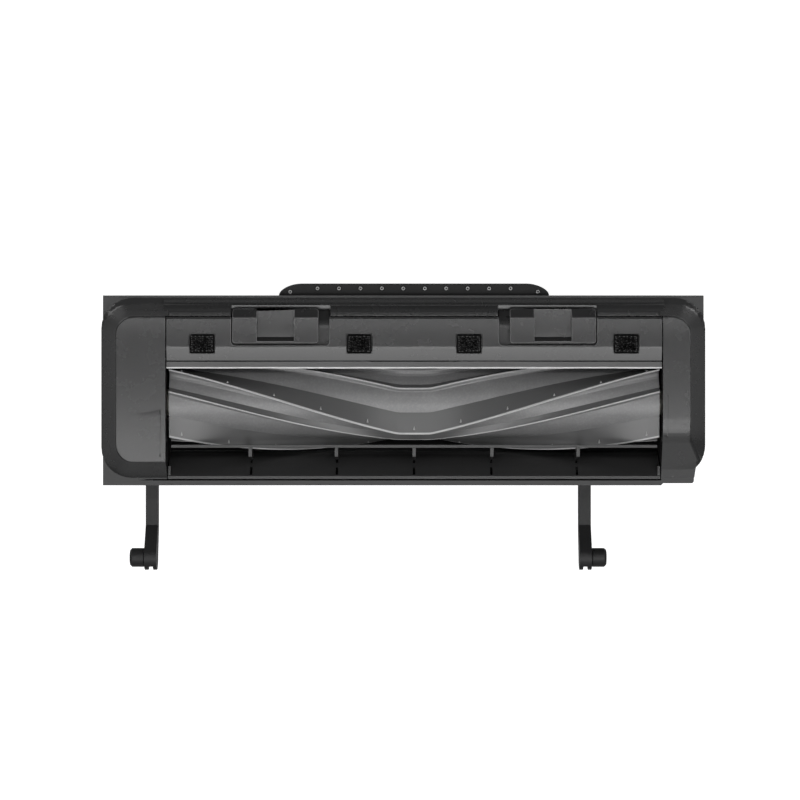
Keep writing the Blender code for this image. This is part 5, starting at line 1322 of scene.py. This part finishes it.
    def _sleeve(self, dresser: Dresser) -> None:
        """Skin over the turned sections outside, and a plain bore inside.

        Args:
            dresser: makes the pieces.
        """
        low, high = box("brush_sleeve")
        x = np.linspace(low[0], high[0], LENGTH_ROWS)
        section = self._section()
        grid_x = np.repeat(x[:, None], len(section), axis=1)
        angle = section[None, :, 0] + self._phase(x)[:, None]
        radius = np.repeat(section[None, :, 1], len(x), axis=0)
        outside = self._place(grid_x, angle, radius)
        turn = np.linspace(0, 360, len(section), endpoint=False) + section[0, 0]
        inside_angle = np.repeat(turn[None], len(x), axis=0) + self._phase(x)[:, None]
        inside = self._place(grid_x, inside_angle, np.full_like(inside_angle, self.bore_radius))
        rows = np.concatenate([outside, inside[::-1]], axis=0)
        rows = np.concatenate([rows, rows[:1]], axis=0)
        surface = grid(rows, caps=False)
        # Painted light from the fin outlines on the outside, none on the bore.
        wear_and_painted_light = np.zeros(rows.shape[:2])
        wear_and_painted_light[:len(x)] = section[None, :, 2]
        wear_and_painted_light[-1] = section[:, 2]
        surface.painted_light = wear_and_painted_light.ravel()
        reach = min(self.middle - low[0], high[0] - self.middle) - self.nub_margin
        count = int(reach / self.nub_pitch)
        places = self.middle + self.nub_pitch * np.arange(-count, count + 1)
        for turn in range(self.pairs):
            for place in places:
                surface.add(self._nub(place, self.tall_tip + turn * 360 / self.pairs))
        dresser.piece("brush_sleeve_fins", surface, ROLLER, "brush", ["brush_sleeve"], angle=15)

    def _nub(self, x: float, tip_angle: float) -> Surface:
        """Small pointed ridge on the flat rear side of a tall fin, near its tip.

        Its sections lie across the fin's side, from a wide end near the tip to a point, and each
        is an arch on a foot sunk in the fin. They are laid out from the tip in the plane of the
        fin's rear side, which is square to the radius at its foot, then turned with the fin.

        Args:
            x: its middle along the brush.
            tip_angle: the fin's angle in the middle of the brush.

        Returns:
            The closed surface.
        """
        back, wide, high = np.array(self.nub).T[:, :, None] * MM
        along = x + wide * np.array([[-1.0, 1.0, 0.5, -0.5]])
        over = high * np.array([[0, 0, 1, 1]]) - self.nub_foot * np.array([[1, 1, 0, 0]])
        tip = math.radians(self.tall_tip)
        forward = self.tall_radius * math.sin(tip) - back + 0 * over
        up = self.tall_radius * math.cos(tip) + over - self.nub_fall * back
        angle = np.degrees(np.arctan2(forward, up)) + tip_angle - self.tall_tip
        surface = grid(self._place(along, angle + self._phase(along), np.hypot(forward, up)))
        # A painted highlight over the whole nub.
        surface.painted_light = np.full(len(surface.points), self.nub_highlight)
        return surface


@dataclass
class Drive:
    """Gears, motor and bearings.

    Attributes:
        plain: nodes dressed with their edges as they are, by finish.
        edge: softened edge of the motor's can and cap.
        terminal_edge: softened edge of its terminals.
    """

    plain: tuple[tuple[Finish, tuple[str, ...]], ...] = (
        (NATURAL, ("output_gear", "idler_gear")),
        (BRONZE, ("motor_pinion", "output_bearing", "end_bearing")),
        (STEEL, ("idler_axle", "motor_shaft", "motor_armature")))
    edge: float = 0.3 * MM
    terminal_edge: float = 0.05 * MM

    def build(self, dresser: Dresser) -> None:
        """Dress the drive's pieces.

        Args:
            dresser: makes the pieces.
        """
        for finish, nodes in self.plain:
            for node in nodes:
                dresser.carried(node, finish, 0.0)
        dresser.carried("motor_can", STEEL, self.edge)
        dresser.carried("motor_end_cap", CREAM, self.edge)
        for word in ("front", "rear"):
            dresser.carried(f"motor_magnet_{word}", LOWER, 0.0)
            dresser.carried(f"motor_terminal_{word}", BRONZE, self.terminal_edge)


@dataclass
class Arms:
    """Swing arms and the bushes on their pins.

    Attributes:
        arm_edge: softened edge of an arm.
        bush_edge: softened edge of a bush.
    """

    arm_edge: float = 0.3 * MM
    bush_edge: float = 0.15 * MM

    def build(self, dresser: Dresser) -> None:
        """Dress both arms and bushes.

        Args:
            dresser: makes the pieces.
        """
        for word in ("left", "right"):
            dresser.carried(f"swing_arm_{word}", LOWER, self.arm_edge)
            dresser.carried(f"pivot_bush_{word}", LOWER, self.bush_edge)


@dataclass
class Screws:
    """Pan-head screws with a cross recess.

    Attributes:
        head: radius of a head.
        rise: height of a head.
        dome: fall of a head's face to its rim.
        shank: radius of a shank.
        tip: radius of its tip.
        pitch: pitch of its thread.
        thread: mean radius of the thread and half its depth, as shares of the shank's radius.
        plain: plain shank under a head.
        point: length of the point.
        recess: depth of the cross.
        arm: half width of an arm of the cross, at its floor and at its rim.
        reach: how far an arm reaches, at its floor and at its rim.
        sides: points round a screw.
        rings: rings of a head's face.
        inner: radius of the innermost one, as a share of the head's.
        thread_steps: rings of the thread.
        motor_edge: softened edge of the motor's screws.
    """

    head: float = 2.3 * MM
    rise: float = 1.5 * MM
    dome: float = 0.42 * MM
    shank: float = 1.2 * MM
    tip: float = 0.35 * MM
    pitch: float = 0.9 * MM
    thread: tuple[float, float] = (0.93, 0.07)
    plain: float = 0.2 * MM
    point: float = 1.2 * MM
    recess: float = 0.8 * MM
    arm: tuple[float, float] = (0.22 * MM, 0.34 * MM)
    reach: tuple[float, float] = (1.25 * MM, 1.45 * MM)
    sides: int = 64
    rings: int = 22
    inner: float = 0.02
    thread_steps: int = 48
    motor_edge: float = 0.1 * MM

    def build(self, dresser: Dresser) -> None:
        """Every screw: upright ones pointing up or down, and the motor's two.

        Args:
            dresser: makes the pieces.
        """
        for number in range(1, 5):
            self._upright(dresser, f"housing_screw_{number}", -1)
            self._upright(dresser, f"deck_screw_{number}", 1)
        for number in (1, 2):
            self._upright(dresser, f"arm_screw_{number}", -1)
            dresser.carried(f"motor_screw_{number}", STEEL, self.motor_edge)

    def _upright(self, dresser: Dresser, node: str, side: int) -> None:
        """One screw whose head looks up (+1) or down (-1).

        The head is a polar grid: its height is a flat dome, less a cross whose two arms are
        narrow bands through the middle. The shank carries a shallow thread ridge, whose radius
        is a cosine of the height.

        Args:
            dresser: makes the pieces.
            node: the CAD screw that it stands for.
            side: 1 or -1.
        """
        low, high = box(node)
        turn = np.linspace(0, 2 * np.pi, self.sides, endpoint=False)
        share = np.linspace(self.inner, 1, self.rings)[:, None]
        radius = share * self.head
        x, y = radius * np.cos(turn), radius * np.sin(turn)
        cross = 1 - smoothstep(np.minimum(np.abs(x), np.abs(y)), *self.arm)
        cross = self.recess * cross * (1 - smoothstep(radius, *self.reach))
        face = np.stack([x, y, -(self.dome * share ** 4 + cross)], axis=-1)
        length = high[2] - low[2]
        depth = np.linspace(self.rise + self.plain, length - self.point, self.thread_steps)
        mean, swing = self.thread
        ridge = self.shank * (mean + swing * np.cos(depth / self.pitch * 2 * np.pi))
        drops = np.vstack([[[self.head, self.rise], [self.shank, self.rise]],
                           np.stack([ridge, depth], axis=-1), [[self.tip, length]]])
        body = np.stack([drops[:, :1] * np.cos(turn), drops[:, :1] * np.sin(turn),
                         -np.repeat(drops[:, 1:], len(turn), axis=1)], axis=-1)
        top = high[2] if side > 0 else low[2]
        points = np.concatenate([face, body], axis=0) * np.array([1, 1, side])
        points = points + np.array([*(low + high)[:2] / 2, top])
        dresser.piece(f"{node}_threaded", grid(points), STEEL, "module", [node])


# Stage -----------------------------------------------------------------------------------------

@dataclass(frozen=True)
class Lamp:
    """One soft rectangular lamp, which the camera doesn't see.

    Attributes:
        name: the lamp's name.
        place: its middle.
        size: its length along X and its width.
        power: watts.
        tilt: how far it is turned about X from looking straight down, in degrees.
        turn: how far it is turned about Z after that, in degrees.
    """

    name: str
    place: tuple[float, float, float]
    size: tuple[float, float]
    power: float
    tilt: float = 0.0
    turn: float = 0.0

    def build(self) -> None:
        """Add the lamp to the scene."""
        data = bpy.data.lights.new(self.name, "AREA")
        data.shape = "RECTANGLE"
        data.size, data.size_y = self.size
        data.energy = self.power
        lamp = bpy.data.objects.new(self.name, data)
        lamp.location = self.place
        lamp.rotation_euler = (math.radians(self.tilt), 0.0, math.radians(self.turn))
        lamp.visible_camera = False
        bpy.context.scene.collection.objects.link(lamp)


KEY = 3.8                    # watts of the main lamp
LAMPS = (
    Lamp("strip_lamp", (0.0, -0.032, 0.392), (1.2, 0.03), KEY * 0.26),
    Lamp("rear_strip", (0.0, 0.105, 0.392), (1.2, 0.02), KEY * 0.21),
    Lamp("high_lamp", (0.0, -0.35, 0.9), (1.0, 0.35), KEY, 22.0),
    Lamp("front_lamp", (0.0, -0.56, 0.6), (1.0, 1.0), KEY * 0.62, 45.0),
    Lamp("rear_lamp", (0.0, 0.6, 0.6), (1.0, 0.6), KEY * 0.06, -45.0),
    Lamp("corner_lamp_-1", (-0.55, 0.6, 0.1), (0.4, 0.16), KEY * 0.25, -86.0, 42.0),
    Lamp("corner_lamp_1", (0.55, 0.6, 0.1), (0.4, 0.16), KEY * 0.25, -86.0, -42.0))


@dataclass
class Studio:
    """Pale floor, soft lamps and the camera.

    Attributes:
        middle: what the camera looks at, on the flange's face.
        distance: camera above that point.
        lens: focal length in millimetres on a 36 mm sensor.
        lamps: the lamps.
        fill: strength of the world.
        floor: half the floor's width.
        floor_grey: its base colour.
        floor_glow: its glow where the camera sees it.
    """

    middle: tuple[float, float, float] = (-1.25 * MM, 10.5 * MM, 34.5 * MM)
    distance: float = 1.0
    lens: float = 118.42
    lamps: tuple[Lamp, ...] = LAMPS
    fill: float = 0.01
    floor: float = 6.0
    floor_grey: float = 0.4
    floor_glow: float = 0.9

    def build(self) -> None:
        """Camera, lamps, world and floor."""
        scene = bpy.context.scene
        scene.view_settings.view_transform = "Standard"
        data = bpy.data.cameras.new("camera")
        data.lens, data.sensor_width = self.lens, 36.0
        data.clip_start, data.clip_end = 0.01, 20.0
        camera = bpy.data.objects.new("camera", data)
        camera.location = (self.middle[0], self.middle[1], self.middle[2] + self.distance)
        scene.collection.objects.link(camera)
        scene.camera = camera
        for lamp in self.lamps:
            lamp.build()
        self._world(scene)
        self._floor()

    def _world(self, scene: bpy.types.Scene) -> None:
        """World: a dim even fill, and white where the camera sees it.

        Args:
            scene: the scene.
        """
        world = bpy.data.worlds.new("world")
        world.use_nodes = True
        background = world.node_tree.nodes["Background"]
        background.inputs["Color"].default_value = (1.0, 1.0, 1.0, 1.0)
        NodeTree(world.node_tree).camera_only(self.fill, 1.0, background.inputs["Strength"])
        scene.world = world

    def _floor(self) -> None:
        """Wide pale floor that keeps the module's shadow and reads white in the open."""
        half = self.floor
        corners = [(-half, -half, 0.0), (half, -half, 0.0), (half, half, 0.0), (-half, half, 0.0)]
        mesh = bpy.data.meshes.new("floor")
        mesh.from_pydata(corners, [], [(0, 1, 2, 3)])
        made = bpy.data.materials.new("floor")
        made.use_nodes = True
        inputs = made.node_tree.nodes["Principled BSDF"].inputs
        inputs["Base Color"].default_value = (*(self.floor_grey,) * 3, 1.0)
        inputs["Roughness"].default_value = 0.9
        inputs["Specular IOR Level"].default_value = 0.0
        inputs["Emission Color"].default_value = (1.0, 1.0, 1.0, 1.0)
        NodeTree(made.node_tree).camera_only(0.0, self.floor_glow, inputs["Emission Strength"])
        mesh.materials.append(made)
        floor = bpy.data.objects.new("floor", mesh)
        bpy.context.scene.collection.objects.link(floor)


# Assembly --------------------------------------------------------------------------------------

def clear_scene() -> None:
    """Remove whatever the scene holds."""
    for item in list(bpy.data.objects):
        bpy.data.objects.remove(item, do_unlink=True)


def main() -> None:
    """Load the frame, set the stage, then build each sub-assembly in order."""
    logging.basicConfig(level=logging.INFO, format="%(message)s")
    clear_scene()
    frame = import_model()
    Studio().build()
    dresser = Dresser(frame)
    for assembly in (FixedShells(), StudCaps(), Cover(), Latch("left"), Latch("right"), Roller(),
                     Drive(), Arms(), Screws()):
        assembly.build(dresser)
    LOG.info("%d pieces", dresser.made)


if __name__ == "__main__":
    main()
